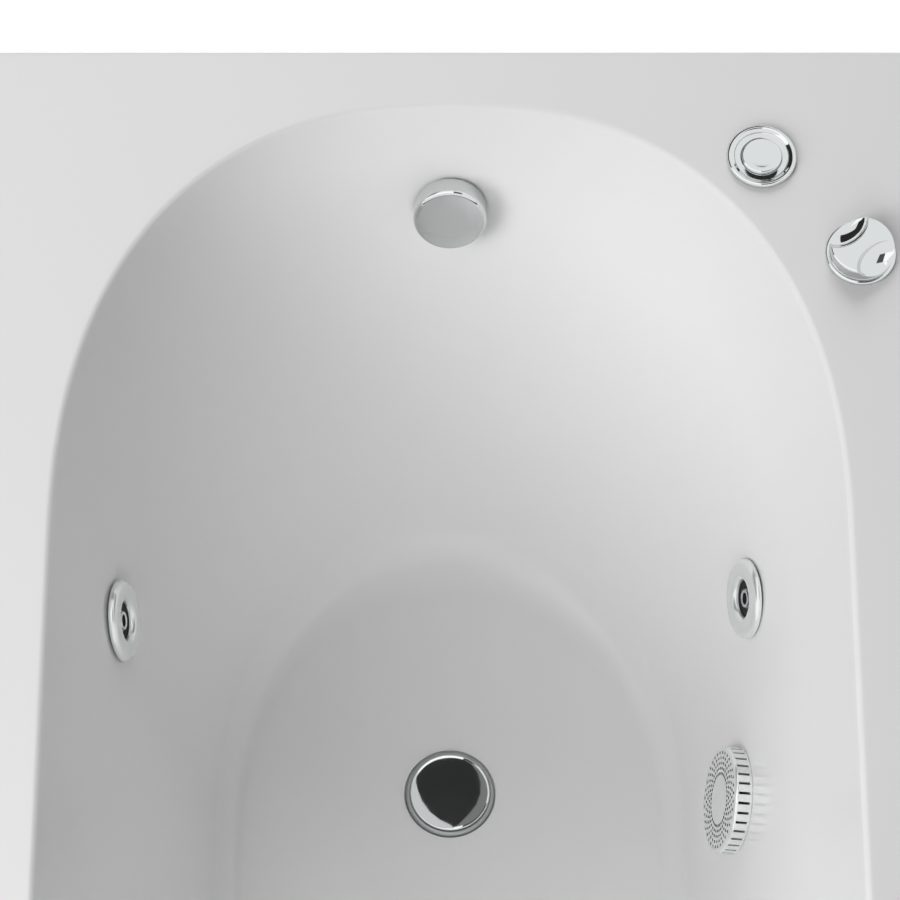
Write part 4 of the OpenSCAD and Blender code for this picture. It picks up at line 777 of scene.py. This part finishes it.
class BATH_OT_waste(bpy.types.Operator):
    """Turn the waste flange and the domed pop-up plug with its stem"""
    bl_idname = "bath.waste"
    bl_label = "Waste and plug"

    def execute(self, context):
        f = context.scene.bath_fittings
        seat = top_seat("waste_flange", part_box("waste_flange")[1].z - WASTE_RECESS * MM)
        r, plug_r = f.flange_r / MM, f.plug_r / MM
        flange = turned("waste_flange_ring", [
            (21.5, -26), (24.5, -26), (24.5, 0), (r, 0),
            *((plug_r + 0.5 + (r - plug_r - 0.5) * math.cos(t), 4.2 * math.sin(t))
              for t in (RIGHT_ANGLE * k / 14 for k in range(1, 15))),
            *arc(plug_r + 0.5, 3.9, 0.3, 90, 180, 3), (plug_r + 0.2, 1.5), (24, 1.5),
            *arc(24, -1, 2.5, 90, 180, 6)], 128)
        guide = turned("guide", [(3.1, -16), (6, -16), (6, -4), (3.1, -4)], 48)
        spokes = [placed(block("spoke", mm(5.2, -1.5, -14), mm(22, 1.5, -6)),
                         Matrix.Rotation(FULL_TURN * k / 3, 4, "Z")) for k in range(3)]
        flange = placed(joined("waste_flange_ring", [flange, guide, *spokes]), seat)
        dress(flange, "bath", "chrome", "waste_flange", finish="brushed_chrome")
        under, edge_z, edge_r, lean_out = 3.1, 5.89, 1.2, math.radians(9.65)
        crown_r = (plug_r - edge_r) / math.sin(lean_out) + edge_r
        crown = arc(plug_r - edge_r, edge_z, edge_r, 0, 90 - math.degrees(lean_out), 10)
        crown += arc(0, edge_z - (crown_r - edge_r) * math.cos(lean_out), crown_r,
                     90 - math.degrees(lean_out), 90, 14)[1:]
        plug = turned("popup_plug", [(0, -46), (2.4, -46), (3, -45.4), (3, under), (plug_r - 0.8, under),
                                     *crown], 128)
        dress(placed(plug, seat), "plug", "chrome", "waste_plug")
        return {"FINISHED"}


class BATH_OT_push_button(bpy.types.Operator):
    """Turn the massage button and its dished bezel"""
    bl_idname = "bath.push_button"
    bl_label = "Massage button"

    def execute(self, context):
        f = context.scene.bath_fittings
        seat = top_seat("button_bezel", DECK_Z)
        r, b = f.control_r / MM, f.button_r / MM
        top, dish, rim = (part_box("button_bezel")[1].z - DECK_Z) / MM, 2.0, r - 4.5
        bezel = turned("button_bezel_ring", [
            (b + 0.1, -30), (17.5, -30), (17.5, 0), (r - 0.3, 0), (r, 0.3), (r, top - 2.6),
            *((r - 2.4 + 2.4 * math.cos(t), top - 2.6 + 2.6 * math.sin(t))
              for t in (math.radians(6 + 9 * k) for k in range(15))),
            (rim - 1.2, dish + 0.5), *arc(rim - 2.0, dish + 0.8, 0.8, -20, -90, 4), (b + 0.9, dish),
            *arc(b + 0.9, dish - 0.8, 0.8, 90, 180, 4)], 128)
        barb = turned("barb", [(0, -42), (2, -42), (2, -30), (17.5, -30), (17.5, -28), (0, -28)], 48)
        bezel = placed(joined("button_bezel_ring", [bezel, barb]), seat)
        dress(bezel, "bath", "chrome", "button_bezel")
        crest = (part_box("push_button")[1].z - DECK_Z) / MM
        button = turned("massage_button", [
            (0, -2), (b - 2, -2), (b - 2, -9), (b, -9), *arc(b - 1.6, crest - 1.6, 1.6, 0, 90, 8),
            (b - 5, crest - 0.3), (0, crest - 0.8)], 128)
        dress(placed(button, seat), "push_button", "chrome", "push_button")
        return {"FINISHED"}


class BATH_OT_air_control(bpy.types.Operator):
    """Turn the air control's bezel, and scoop its knob to leave a grip"""
    bl_idname = "bath.air_control"
    bl_label = "Air control"

    def execute(self, context):
        f = context.scene.bath_fittings
        seat = top_seat("air_bezel", DECK_Z)
        r, k = f.control_r / MM, f.air_r / MM
        bezel = turned("air_bezel_ring", [
            (14.5, -14), (17.5, -14), (17.5, 0), (r - 0.3, 0), (r, 0.3), (r, 1.4),
            *arc(r - 1.6, 1.4, 1.6, 0, 90, 6), (15.5, 3), (14.5, 2)], 128)
        dress(placed(bezel, seat), "bath", "chrome", "air_bezel")
        low, high = 3.6, (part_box("air_knob")[1].z - DECK_Z) / MM
        knob = turned("air_knob_grip", [
            (0, -22), (4.6, -22), (5, -21.6), (5, low), (k - 0.5, low), (k, low + 0.5), (k, high - 2),
            *arc(k - 2, high - 2, 2, 0, 90, 8), (0, high)], 128)
        scoop_r, scoop_floor, scoop_stretch = 16, 3, 1.4
        grip_half, grip_turn = 3, 42
        for side in (0, 180):
            focus()
            bpy.ops.mesh.primitive_uv_sphere_add(segments=64, ring_count=32, radius=scoop_r * MM)
            ball = named("ball")
            arm = rod("arm", mm(0, 0, 0), mm(0, k, 0), scoop_r * MM, 64)
            scoop = cut(ball, arm, "UNION")
            turn = Matrix.Rotation(math.radians(grip_turn + side), 4, "Z")
            step = Matrix.Translation(mm(0, grip_half + scoop_r, low + scoop_floor + scoop_r))
            cut(knob, placed(scoop, turn @ step @ Matrix.Diagonal((scoop_stretch, 1, 1, 1))))
        softened(knob, 0.5, 3, 40)
        dress(placed(knob, seat), "air_knob", "chrome", "air_knob")
        return {"FINISHED"}


class BATH_OT_jets(bpy.types.Operator):
    """Turn the face ring and the ball nozzle of a jet once, and set a copy in each seat"""
    bl_idname = "bath.jets"
    bl_label = "Jets"

    def execute(self, context):
        f = context.scene.bath_fittings
        r, ball = f.jet_r / MM, f.ball_r / MM
        face, back, lip, ball_z, sleeve = 8.5, 3.2, -14, -6, 16.42
        socket = ball + 0.1
        start = math.degrees(math.asin((lip - ball_z) / socket))
        finish = math.degrees(math.asin((-0.2 - ball_z) / socket))
        mouth = ball + 2.2
        ring = turned("jet_face", [
            *arc(0, ball_z, socket, start, finish, 14), (mouth - 0.3, face - 6), (mouth, face - 4.5),
            *arc(mouth + 4.2, face - 4, 4, 176, 96, 10), (mouth + 8.5, face),
            *arc(r - 4.2, face - 4.2, 4.2, 88, 12, 12), (r, face - 4), (r, back), (r - 2, back),
            (r - 2, 3.5), (sleeve, 3.5), (sleeve, lip)], 128)
        bore, spout = 4.5, 6.9
        flat = math.degrees(math.asin(9.5 / ball))
        nozzle = turned("jet_ball", [
            (bore, ball_z - 9.5), *arc(0, ball_z, ball, -flat, flat, 20), (spout, ball_z + 9.6),
            (spout, 4.5), *arc(spout - 0.5, 4.5, 0.5, 0, 90, 3), (bore + 0.5, 5),
            *arc(bore + 0.5, 4.5, 0.5, 90, 180, 3)], 96)
        for n in JETS:
            seat = joint_seat(f"ring_turn_{n}")
            face_n = placed(copied(ring, f"jet_face_{n}"), seat)
            dress(face_n, f"ring_{n}", "chrome", f"jet_ring_{n}", finish="satin_chrome")
            # Painted shade: the face ring's mouth is painted black where its bore lies in shade
            painted_shade_inside(face_n, seat, mouth + 0.2, face - 4.4)
            ball_n = placed(copied(nozzle, f"jet_ball_{n}"), seat)
            dress(ball_n, f"nozzle_{n}", "chrome", f"jet_nozzle_{n}")
            # Painted shade: the nozzle's bore and throat are painted black
            painted_shade_inside(ball_n, seat, mouth, 3.5)
        for pattern in (ring, nozzle):
            bpy.data.objects.remove(pattern)
        return {"FINISHED"}


class BATH_OT_suction(bpy.types.Operator):
    """Turn the suction grille, drill its rings of holes and slot its edge"""
    bl_idname = "bath.suction"
    bl_label = "Suction grille"

    def execute(self, context):
        f = context.scene.bath_fittings
        r, low, high, wall = f.suction_r / MM, GRILLE_LOW, GRILLE_HIGH, 2.2
        rows, first_row_r, row_step, hole_r = 5, 20, 4, 1.25
        grille = turned("suction_cover", [
            (0, high - wall), (r - wall - 1, high - wall), (r - wall, high - wall - 1), (r - wall, low),
            (r - 0.3, low), (r, low + 0.3), *arc(r - 2.4, high - 2.4, 2.4, 0, 90, 8), (0, high)], 160)
        cutters = []
        for row in range(rows):
            row_r = first_row_r + row_step * row
            for k in range(f.grille_holes):
                turn = FULL_TURN * (k + 0.5 * (row % 2)) / f.grille_holes
                x, y = row_r * math.cos(turn), row_r * math.sin(turn)
                cutters.append(rod("hole", mm(x, y, high - wall - 1), mm(x, y, high + 1), hole_r * MM, 12))
        for k in range(f.grille_slots):
            slot = block("slot", mm(r - wall - 1, -1, 3.4), mm(r + 1, 1, high - 2.6))
            cutters.append(placed(slot, Matrix.Rotation(FULL_TURN * (k + 0.5) / f.grille_slots, 4, "Z")))
        cut(grille, joined("cutters", cutters))
        seat = suction_seat(context.scene.bath_shell)
        dress(placed(grille, seat), "bath", "chrome", "suction_grille", finish="satin_chrome")
        # Painted shade: the grille's hollow behind its holes and slots is painted black
        painted_shade_inside(grille, seat, r - wall + 0.05, high - 0.2)
        return {"FINISHED"}


# Hoses


def hose_line(points, bend, steps=14):
    """Straight legs joined by arcs of one radius"""
    line = [Vector(points[0])]
    for a, b, c in zip(points, points[1:], points[2:]):
        d1, d2 = (Vector(b) - Vector(a)).normalized(), (Vector(c) - Vector(b)).normalized()
        turn = d1.angle(d2)
        if turn < 0.01:
            continue
        side = (d2 - d1 * d1.dot(d2)).normalized()
        start = Vector(b) - d1 * bend * math.tan(turn / 2)
        centre = start + side * bend
        for k in range(steps + 1):
            w = turn * k / steps
            line.append(centre - side * bend * math.cos(w) + d1 * bend * math.sin(w))
    line.append(Vector(points[-1]))
    return line


def hose(name, points, radius, bore, bend):
    """A hose with a bore along a route, as a curve made into a mesh"""
    focus()
    data = bpy.data.curves.new(name, "CURVE")
    data.dimensions = "3D"
    data.bevel_depth = radius
    data.bevel_resolution = 8
    line = hose_line(points, bend)
    spline = data.splines.new("POLY")
    spline.points.add(len(line) - 1)
    for spot, p in zip(spline.points, line):
        spot.co = (*p, 1)
    obj = bpy.data.objects.new(name, data)
    bpy.context.scene.collection.objects.link(obj)
    focus(obj)
    bpy.ops.object.convert(target="MESH")
    obj = named(name)
    shaped(obj, "SOLIDIFY", thickness=radius - bore, offset=-1, use_even_offset=True)
    return obj


def clip(name, spot, direction, radius):
    """A worm-drive hose clip: a band, the worm's housing on it and the slotted screw"""
    r = radius / MM
    band = turned("band", [(r + 0.1, -4.5), (r + 0.9, -4.5), (r + 0.9, 4.5), (r + 0.1, 4.5)], 64)
    housing = softened(block("housing", mm(-5, r + 0.2, -5.5), mm(5, r + 5.5, 5.5)), 1.2, 3)
    screw = rod("screw", mm(-9, r + 3.2, 0), mm(8, r + 3.2, 0), 2.4 * MM, 24)
    made = joined(name, [band, housing, screw])
    turn = Vector(direction).to_track_quat("Z", "Y").to_matrix().to_4x4()
    return placed(made, Matrix.Translation(spot) @ turn)


def jet_spot(n, along, up, out):
    """A place by a jet, in mm along the wall, up it and out of it"""
    return joint_seat(f"ring_turn_{n}") @ mm(along, up, out)


# Spigots by a jet and the straight leads from them in mm; radii, bores and bends of the hoses in metres

SHOULDER, LEAD = 25.3, 90
WATER_UP, WATER_OUT = -7, -33
AIR_UP, AIR_OUT = 15, -27
WATER_R, WATER_BORE, WATER_BEND = 12 * MM, 9.25 * MM, 60 * MM
AIR_R, AIR_BORE, AIR_BEND = 6 * MM, 4.25 * MM, 30 * MM
SUCTION_R, SUCTION_BORE, SUCTION_BEND = 22 * MM, 19.25 * MM, 80 * MM
LINK_BEND = 300 * MM


class BATH_OT_hoses(bpy.types.Operator):
    """Run the water, air and suction hoses, with their clips"""
    bl_idname = "bath.hoses"
    bl_label = "Hoses"

    def execute(self, context):
        pump = joint_seat("rotor_spin")
        pump_turn = Matrix(((0, 0, 1, 0), (1, 0, 0, 0), (0, 1, 0, 0), (0, 0, 0, 1)))
        pump = Matrix.Translation(pump.translation) @ pump_turn
        water, air, clips = [], [], []

        def clip_ends(route, radius, first, last):
            """Notes a clip at each end of a route, at a share of its end leg"""
            clips.append((route[0].lerp(route[1], first), route[1] - route[0], radius))
            clips.append((route[-1].lerp(route[-2], last), route[-1] - route[-2], radius))

        for n in (1, 2, 4, 5):
            h = 1 if n < 4 else -1
            ends = [(n, h * SHOULDER), (n, h * LEAD), (n + 1, -h * LEAD), (n + 1, -h * SHOULDER)]
            route = [jet_spot(m, along, WATER_UP, WATER_OUT) for m, along in ends]
            water.append(hose("water_hose", route, WATER_R, WATER_BORE, LINK_BEND))
            clip_ends(route, WATER_R, 0.2, 0.2)
            route = [jet_spot(m, along, AIR_UP, AIR_OUT) for m, along in ends]
            air.append(hose("air_hose", route, AIR_R, AIR_BORE, LINK_BEND))
            clip_ends(route, AIR_R, 0.14, 0.14)
        discharge, tee_y, tee_z, tee_half = 36, 92, 188, 17
        feed_run, suction_run, deck_run = 170 * MM, 260 * MM, 24 * MM
        for side, last in ((1, 3), (-1, 6)):
            barb = jet_spot(last, side * SHOULDER, WATER_UP, WATER_OUT)
            tee = pump @ mm(discharge, tee_y, tee_z + side * tee_half)
            route = [tee, Vector((barb.x, tee.y, tee.z)), Vector((barb.x, barb.y - feed_run, barb.z)), barb]
            water.append(hose("water_hose", route, WATER_R, WATER_BORE, WATER_BEND))
            clip_ends(route, WATER_R, 0.06, 0.08)
        valve = top_seat("air_bezel", DECK_Z) @ mm(0, 0, -46.3)
        route = [valve, valve - mm(0, 0, LEAD), jet_spot(1, -LEAD, AIR_UP, AIR_OUT),
                 jet_spot(1, -SHOULDER, AIR_UP, AIR_OUT)]
        air.append(hose("air_hose", route, AIR_R, AIR_BORE, AIR_BEND))
        side_out = top_seat("air_bezel", DECK_Z) @ mm(0, 17.8, -38)
        end_y = HALF_L - deck_run
        route = [side_out, Vector((side_out.x, end_y, side_out.z)), Vector((-side_out.x, end_y, side_out.z)),
                 Vector((-side_out.x, 0.69, side_out.z - 20 * MM)), jet_spot(4, LEAD, AIR_UP, AIR_OUT),
                 jet_spot(4, SHOULDER, AIR_UP, AIR_OUT)]
        air.append(hose("air_hose", route, AIR_R, AIR_BORE, AIR_BEND))
        dress(joined("water_hose_run", water), "bath", "white_pipe", "water_hoses")
        dress(joined("air_hose_run", air), "bath", "white_pipe", "air_hoses")
        seat = suction_seat(context.scene.bath_shell)
        start = seat @ mm(34.3, 0, -36)
        inlet = pump @ mm(0, 0, 217.3)
        route = [start, start - mm(0, LEAD, 0), Vector((start.x, start.y - suction_run, inlet.z)),
                 Vector((start.x, inlet.y, inlet.z)), inlet]
        suction = hose("suction_hose_run", route, SUCTION_R, SUCTION_BORE, SUCTION_BEND)
        clip_ends(route, SUCTION_R, 0.14, 0.12)
        dress(suction, "bath", "black_rubber", "suction_hose")
        made = [clip("clip", *c) for c in clips]
        dress(joined("hose_clips", made), "bath", "zinc_steel", finish="bright_zinc")
        return {"FINISHED"}


# Frame: distances of its bars and posts from the waste end and how much shorter a post is, in mm

BARS = (55, 560, 1200, 1430, 1645)
POSTS = ((55, 0), (810, 40), (1645, 0))


def tube_run(name, start, end, side, wall):
    """A square tube with rounded corners and open ends, along X, Y or Z"""
    start, end = Vector(start), Vector(end)
    along = (end - start).normalized()
    half = Vector(tuple(side / 2 * (1 - abs(c)) for c in along))
    tube = block(name, start - half, end + half)
    with editing(tube, "FACE"):
        pick(tube, "FACE", lambda face: abs(face.normal.dot(along)) > 0.9)
        bpy.ops.mesh.delete(type="FACE")
        pick(tube, "EDGE", lambda e: not e.is_boundary)
        bpy.ops.mesh.bevel(offset=1.5 * wall, segments=4)
    shaped(tube, "SOLIDIFY", thickness=wall, offset=-1, use_even_offset=True)
    return tube


class BATH_OT_frame(bpy.types.Operator):
    """Weld up the frame of square tubes: two rails, the cross bars and the posts"""
    bl_idname = "bath.frame"
    bl_label = "Frame"

    def execute(self, context):
        s = context.scene.bath_support
        low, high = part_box("side_rails")
        z, x = (low.z + high.z) / 2, high.x - s.tube / 2
        rails = [tube_run("rail", (side * x, low.y, z), (side * x, high.y, z), s.tube, s.tube_wall)
                 for side in (-1, 1)]
        dress(joined("frame_rails", rails), "bath", "zinc_steel", "side_rails")
        reach = x - s.tube / 2
        bars = [tube_run("bar", (-reach, y, z), (reach, y, z), s.tube, s.tube_wall)
                for y in (HALF_L - back * MM for back in BARS)]
        dress(joined("frame_bars", bars), "bath", "zinc_steel", "cross_bars")
        under_deck = DECK_Z - context.scene.bath_shell.wall
        posts, post_wall, batten_half = [], 1.5 * MM, 15 * MM
        for side in (-1, 1):
            for back, shorter in POSTS:
                spot, top = (side * x, HALF_L - back * MM), under_deck - shorter * MM
                posts.append(tube_run("post", (*spot, high.z), (*spot, top), s.post, post_wall))
        dress(joined("frame_posts", posts), "bath", "zinc_steel", "rim_posts")
        low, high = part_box("rim_battens")
        battens = [block("batten", (mid - batten_half, low.y, low.z), (mid + batten_half, high.y, high.z))
                   for mid in (-x, x)]
        battens = softened(joined("deck_battens", battens), 1.5)
        dress(battens, "bath", "timber", "rim_battens")
        return {"FINISHED"}


def thread(name, low, high, radius, pitch):
    """A screw thread between two heights: one tooth of its profile drawn up a helix"""
    focus()
    bpy.ops.mesh.primitive_circle_add(vertices=3, fill_type="NOTHING")
    obj = named(name)
    depth = 0.55 * pitch
    root = radius - depth
    moved(obj, ((root, 0, low), (radius, 0, low + pitch / 2), (root, 0, low + pitch)))
    with editing(obj):
        pick(obj, "EDGE", lambda e: all(v.co.x < radius - depth / 2 for v in e.verts))
        bpy.ops.mesh.delete(type="EDGE")
    shaped(obj, "SCREW", angle=FULL_TURN, screw_offset=pitch, iterations=int((high - low) / pitch),
           steps=20, render_steps=20, use_merge_vertices=True, merge_threshold=1e-6)
    with editing(obj):
        merge()
    return obj


class BATH_OT_feet(bpy.types.Operator):
    """Mould the feet, cut their studs' threads, and set one on each foot"""
    bl_idname = "bath.feet"
    bl_label = "Feet"

    def execute(self, context):
        s = context.scene.bath_support
        low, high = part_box("foot_1")
        pad_r = (high.x - low.x) / 2 / MM
        stud = s.stud_r / MM
        pad = turned("pad", [
            (0, 0), (pad_r - 1, 0), (pad_r, 1), (pad_r, 6), *arc(pad_r - 3, 6.5, 3, 0, 90, 5), (stud + 7, 11),
            (stud + 4, 13), (stud + 4, 21), (stud + 3, 22), (0, 22)], 64)
        core = rod("core", (0, 0, 20 * MM), (0, 0, high.z - 0.5 * MM), (stud - 0.9) * MM, 32)
        teeth = thread("teeth", 22 * MM, high.z - 1.2 * MM, s.stud_r, s.pitch)
        shank = joined("shank", [core, teeth])
        for n in range(1, 7):
            low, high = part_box(f"foot_{n}")
            spot = Matrix.Translation(((low.x + high.x) / 2, (low.y + high.y) / 2, 0))
            pad_n = placed(copied(pad, f"foot_pad_{n}"), spot)
            dress(pad_n, f"foot_{n}", "foot_plastic", f"foot_{n}")
            shank_n = placed(copied(shank, f"foot_stud_{n}"), spot)
            dress(shank_n, f"foot_{n}", "zinc_steel", finish="bright_zinc", smooth=20)
        for pattern in (pad, shank):
            bpy.data.objects.remove(pattern)
        return {"FINISHED"}


class BATH_OT_carried(bpy.types.Operator):
    """Give each CAD piece that still shows the finish of its slot"""
    bl_idname = "bath.carried"
    bl_label = "Carried pieces"

    def execute(self, context):
        own = {"base_board": "chipboard", "frame_bolts": "bright_zinc", "foot_nuts": "bright_zinc",
               "pump_base": "bright_zinc", "pump_rotor": "bright_zinc"}
        for row in frame["record"]["subparts"]:
            node = row["node"]
            obj = frame["nodes"][node]
            obj.data.materials.clear()
            obj.data.materials.append(look(own.get(node, row["material_slot"])))
        return {"FINISHED"}


# Studio: the cards that the chrome reflects, with strength, height over the deck and corners in mm

AIM = Vector((0, 0.3, 0.3))
WHITE = (1, 1, 1, 1)
CARDS = (
    ("dark_card", 0.035, -20, (
        (17, 366), (45, 393), (81, 431), (111, 473), (131, 527), (135, 583), (124, 642), (97, 692), (63, 725),
        (0, 729), (-68, 719), (-113, 694), (-144, 662), (-162, 632), (-154, 599), (-141, 548), (-120, 493),
        (-85, 440), (-44, 405), (4, 380))),
    ("grey_card", 0.24, -16, (
        (10, 358), (90, 378), (140, 418), (175, 480), (188, 543), (180, 608), (146, 680), (85, 733),
        (58, 722), (0, 600))),
    ("white_card", 1.45, -14, (
        (-155, 648), (-60, 690), (50, 700), (62, 724), (80, 775), (-40, 788), (-130, 750), (-175, 690))),
    ("pale_card", 0.75, -12, (
        (20, 345), (0, 640), (-172, 645), (-205, 592), (-210, 542), (-195, 470), (-160, 408), (-110, 362),
        (-45, 343))),
    ("far_flag", 0.03, 1600, (
        (-7000, 900), (-1300, 900), (-900, 1900), (700, 1900), (700, 9000), (-7000, 9000))),
    ("high_reflector", 1.35, 2300, ((-5000, -500), (350, -500), (350, 1000), (-5000, 1000))),
    ("right_flag", 0.1, 2300, ((350, -500), (1300, -500), (1300, 1000), (350, 1000))),
)


class BATH_OT_studio(bpy.types.Operator):
    """Set the white floor, the surroundings, the softboxes and the camera"""
    bl_idname = "bath.studio"
    bl_label = "Studio"

    def execute(self, context):
        s = context.scene.bath_studio
        scene = context.scene
        scene.view_settings.view_transform = "Standard"
        focus()
        bpy.ops.mesh.primitive_plane_add(size=40)
        floor = named("studio_floor")
        paper, tree = new_material("white_paper")
        shader = tree.nodes["Principled BSDF"]
        path = add_node(tree, "ShaderNodeLightPath")
        seen = worked(tree, "MAXIMUM", (path, "Is Camera Ray"), (path, "Is Glossy Ray"))
        shader.inputs["Base Color"].default_value = (0.85, 0.85, 0.85, 1)
        shader.inputs["Roughness"].default_value = 0.9
        shader.inputs["Emission Color"].default_value = WHITE
        glow, output = worked(tree, "MULTIPLY", seen, 0.55)
        tree.links.new(glow.outputs[output], shader.inputs["Emission Strength"])
        floor.data.materials.append(paper)
        world = bpy.data.worlds.new("surroundings")
        scene.world = world
        world.use_nodes = True
        tree = world.node_tree
        path = add_node(tree, "ShaderNodeLightPath")
        seen = worked(tree, "MAXIMUM", (path, "Is Camera Ray"), (path, "Is Glossy Ray"))
        seen = worked(tree, "MAXIMUM", seen, (path, "Is Transmission Ray"))
        seen = worked(tree, "MULTIPLY", seen, worked(tree, "LESS_THAN", (path, "Diffuse Depth"), 0.5))
        strength = add_node(tree, "ShaderNodeMapRange", {"To Min": s.sky, "To Max": 1.0}, {"Value": seen})
        tree.links.new(strength.outputs["Result"], tree.nodes["Background"].inputs["Strength"])
        tree.nodes["Background"].inputs["Color"].default_value = WHITE
        for name, heading, height, power in (
                ("key_light", -120, 30, s.key_power), ("high_light", -120, 60, s.high_power),
                ("far_light", 0, 30, s.far_power), ("near_light", 177, 30, s.near_power),
                ("side_light", 90, 30, s.side_power)):
            self.softbox(name, heading, height, power)
        for name, strength, height, corners in CARDS:
            self.card(name, strength, DECK_Z + height * MM, corners)
        focus()
        spot = (0, s.camera_back, DECK_Z + s.camera_up)
        bpy.ops.object.camera_add(location=spot, rotation=(s.camera_tilt, 0, 0))
        camera = bpy.context.object
        camera.data.lens = s.lens
        camera.data.sensor_width = 36
        camera.data.clip_start, camera.data.clip_end = 0.05, 100
        scene.camera = camera
        return {"FINISHED"}

    def softbox(self, name, heading, height, power, distance=3.0, size=1.6):
        """An unseen square lamp, by its heading from the waste end and its height in degrees"""
        heading, height = math.radians(heading), math.radians(height)
        level = math.cos(height)
        away = Vector((math.sin(heading) * level, math.cos(heading) * level, math.sin(height)))
        focus()
        bpy.ops.object.light_add(type="AREA", location=AIM + away * distance)
        lamp = bpy.context.object
        lamp.name = name
        lamp.data.shape = "SQUARE"
        lamp.data.size = size
        lamp.data.energy = power
        lamp.rotation_euler = away.to_track_quat("Z", "Y").to_euler()
        lamp.visible_camera = lamp.visible_glossy = False

    def card(self, name, strength, z, corners):
        """A level card over the bath, in mm, that only reflections show, from below and 14 cm away or more"""
        focus()
        bpy.ops.mesh.primitive_circle_add(vertices=len(corners), fill_type="NGON")
        sheet = named(name)
        moved(sheet, [(x * MM, y * MM, z) for x, y in corners])
        paper, tree = new_material(name)
        side = add_node(tree, "ShaderNodeNewGeometry")
        path = add_node(tree, "ShaderNodeLightPath")
        far = worked(tree, "GREATER_THAN", (path, "Ray Length"), 0.14)
        shows = worked(tree, "MULTIPLY", (side, "Backfacing"), far)
        shows = worked(tree, "MULTIPLY", shows, worked(tree, "LESS_THAN", (path, "Diffuse Depth"), 0.5))
        glow = add_node(tree, "ShaderNodeEmission", {"Color": WHITE, "Strength": strength})
        clear = add_node(tree, "ShaderNodeBsdfTransparent")
        either = add_node(tree, "ShaderNodeMixShader", links={0: shows, 1: (clear, 0), 2: (glow, 0)})
        tree.links.new(either.outputs[0], tree.nodes["Material Output"].inputs["Surface"])
        sheet.data.materials.append(paper)
        for ray in ("camera", "diffuse", "transmission", "volume_scatter", "shadow"):
            setattr(sheet, f"visible_{ray}", False)


class BATH_PT_pieces(bpy.types.Panel):
    """Lists the bath's pieces in the 3D view's sidebar"""
    bl_idname = "BATH_PT_pieces"
    bl_label = "Hydromassage bath"
    bl_space_type = "VIEW_3D"
    bl_region_type = "UI"
    bl_category = "Bath"

    def draw(self, context):
        for kind in PIECES:
            self.layout.operator(kind.bl_idname)


SETTINGS = {"bath_shell": ShellSettings, "bath_fittings": FittingSettings, "bath_support": SupportSettings,
            "bath_studio": StudioSettings}
PIECES = (BATH_OT_carried, BATH_OT_acrylic_shell, BATH_OT_overflow, BATH_OT_waste, BATH_OT_push_button,
          BATH_OT_air_control, BATH_OT_jets, BATH_OT_suction, BATH_OT_hoses, BATH_OT_frame, BATH_OT_feet,
          BATH_OT_studio)


def register():
    for kind in (*SETTINGS.values(), *PIECES, BATH_PT_pieces):
        bpy.utils.register_class(kind)
    for name, kind in SETTINGS.items():
        setattr(bpy.types.Scene, name, PointerProperty(type=kind))


def unregister():
    for name in SETTINGS:
        delattr(bpy.types.Scene, name)
    for kind in (BATH_PT_pieces, *reversed(PIECES), *SETTINGS.values()):
        bpy.utils.unregister_class(kind)


def main():
    register()
    for kind in PIECES:
        family, action = kind.bl_idname.split(".")
        getattr(getattr(bpy.ops, family), action)()


if __name__ == "__main__":
    main()
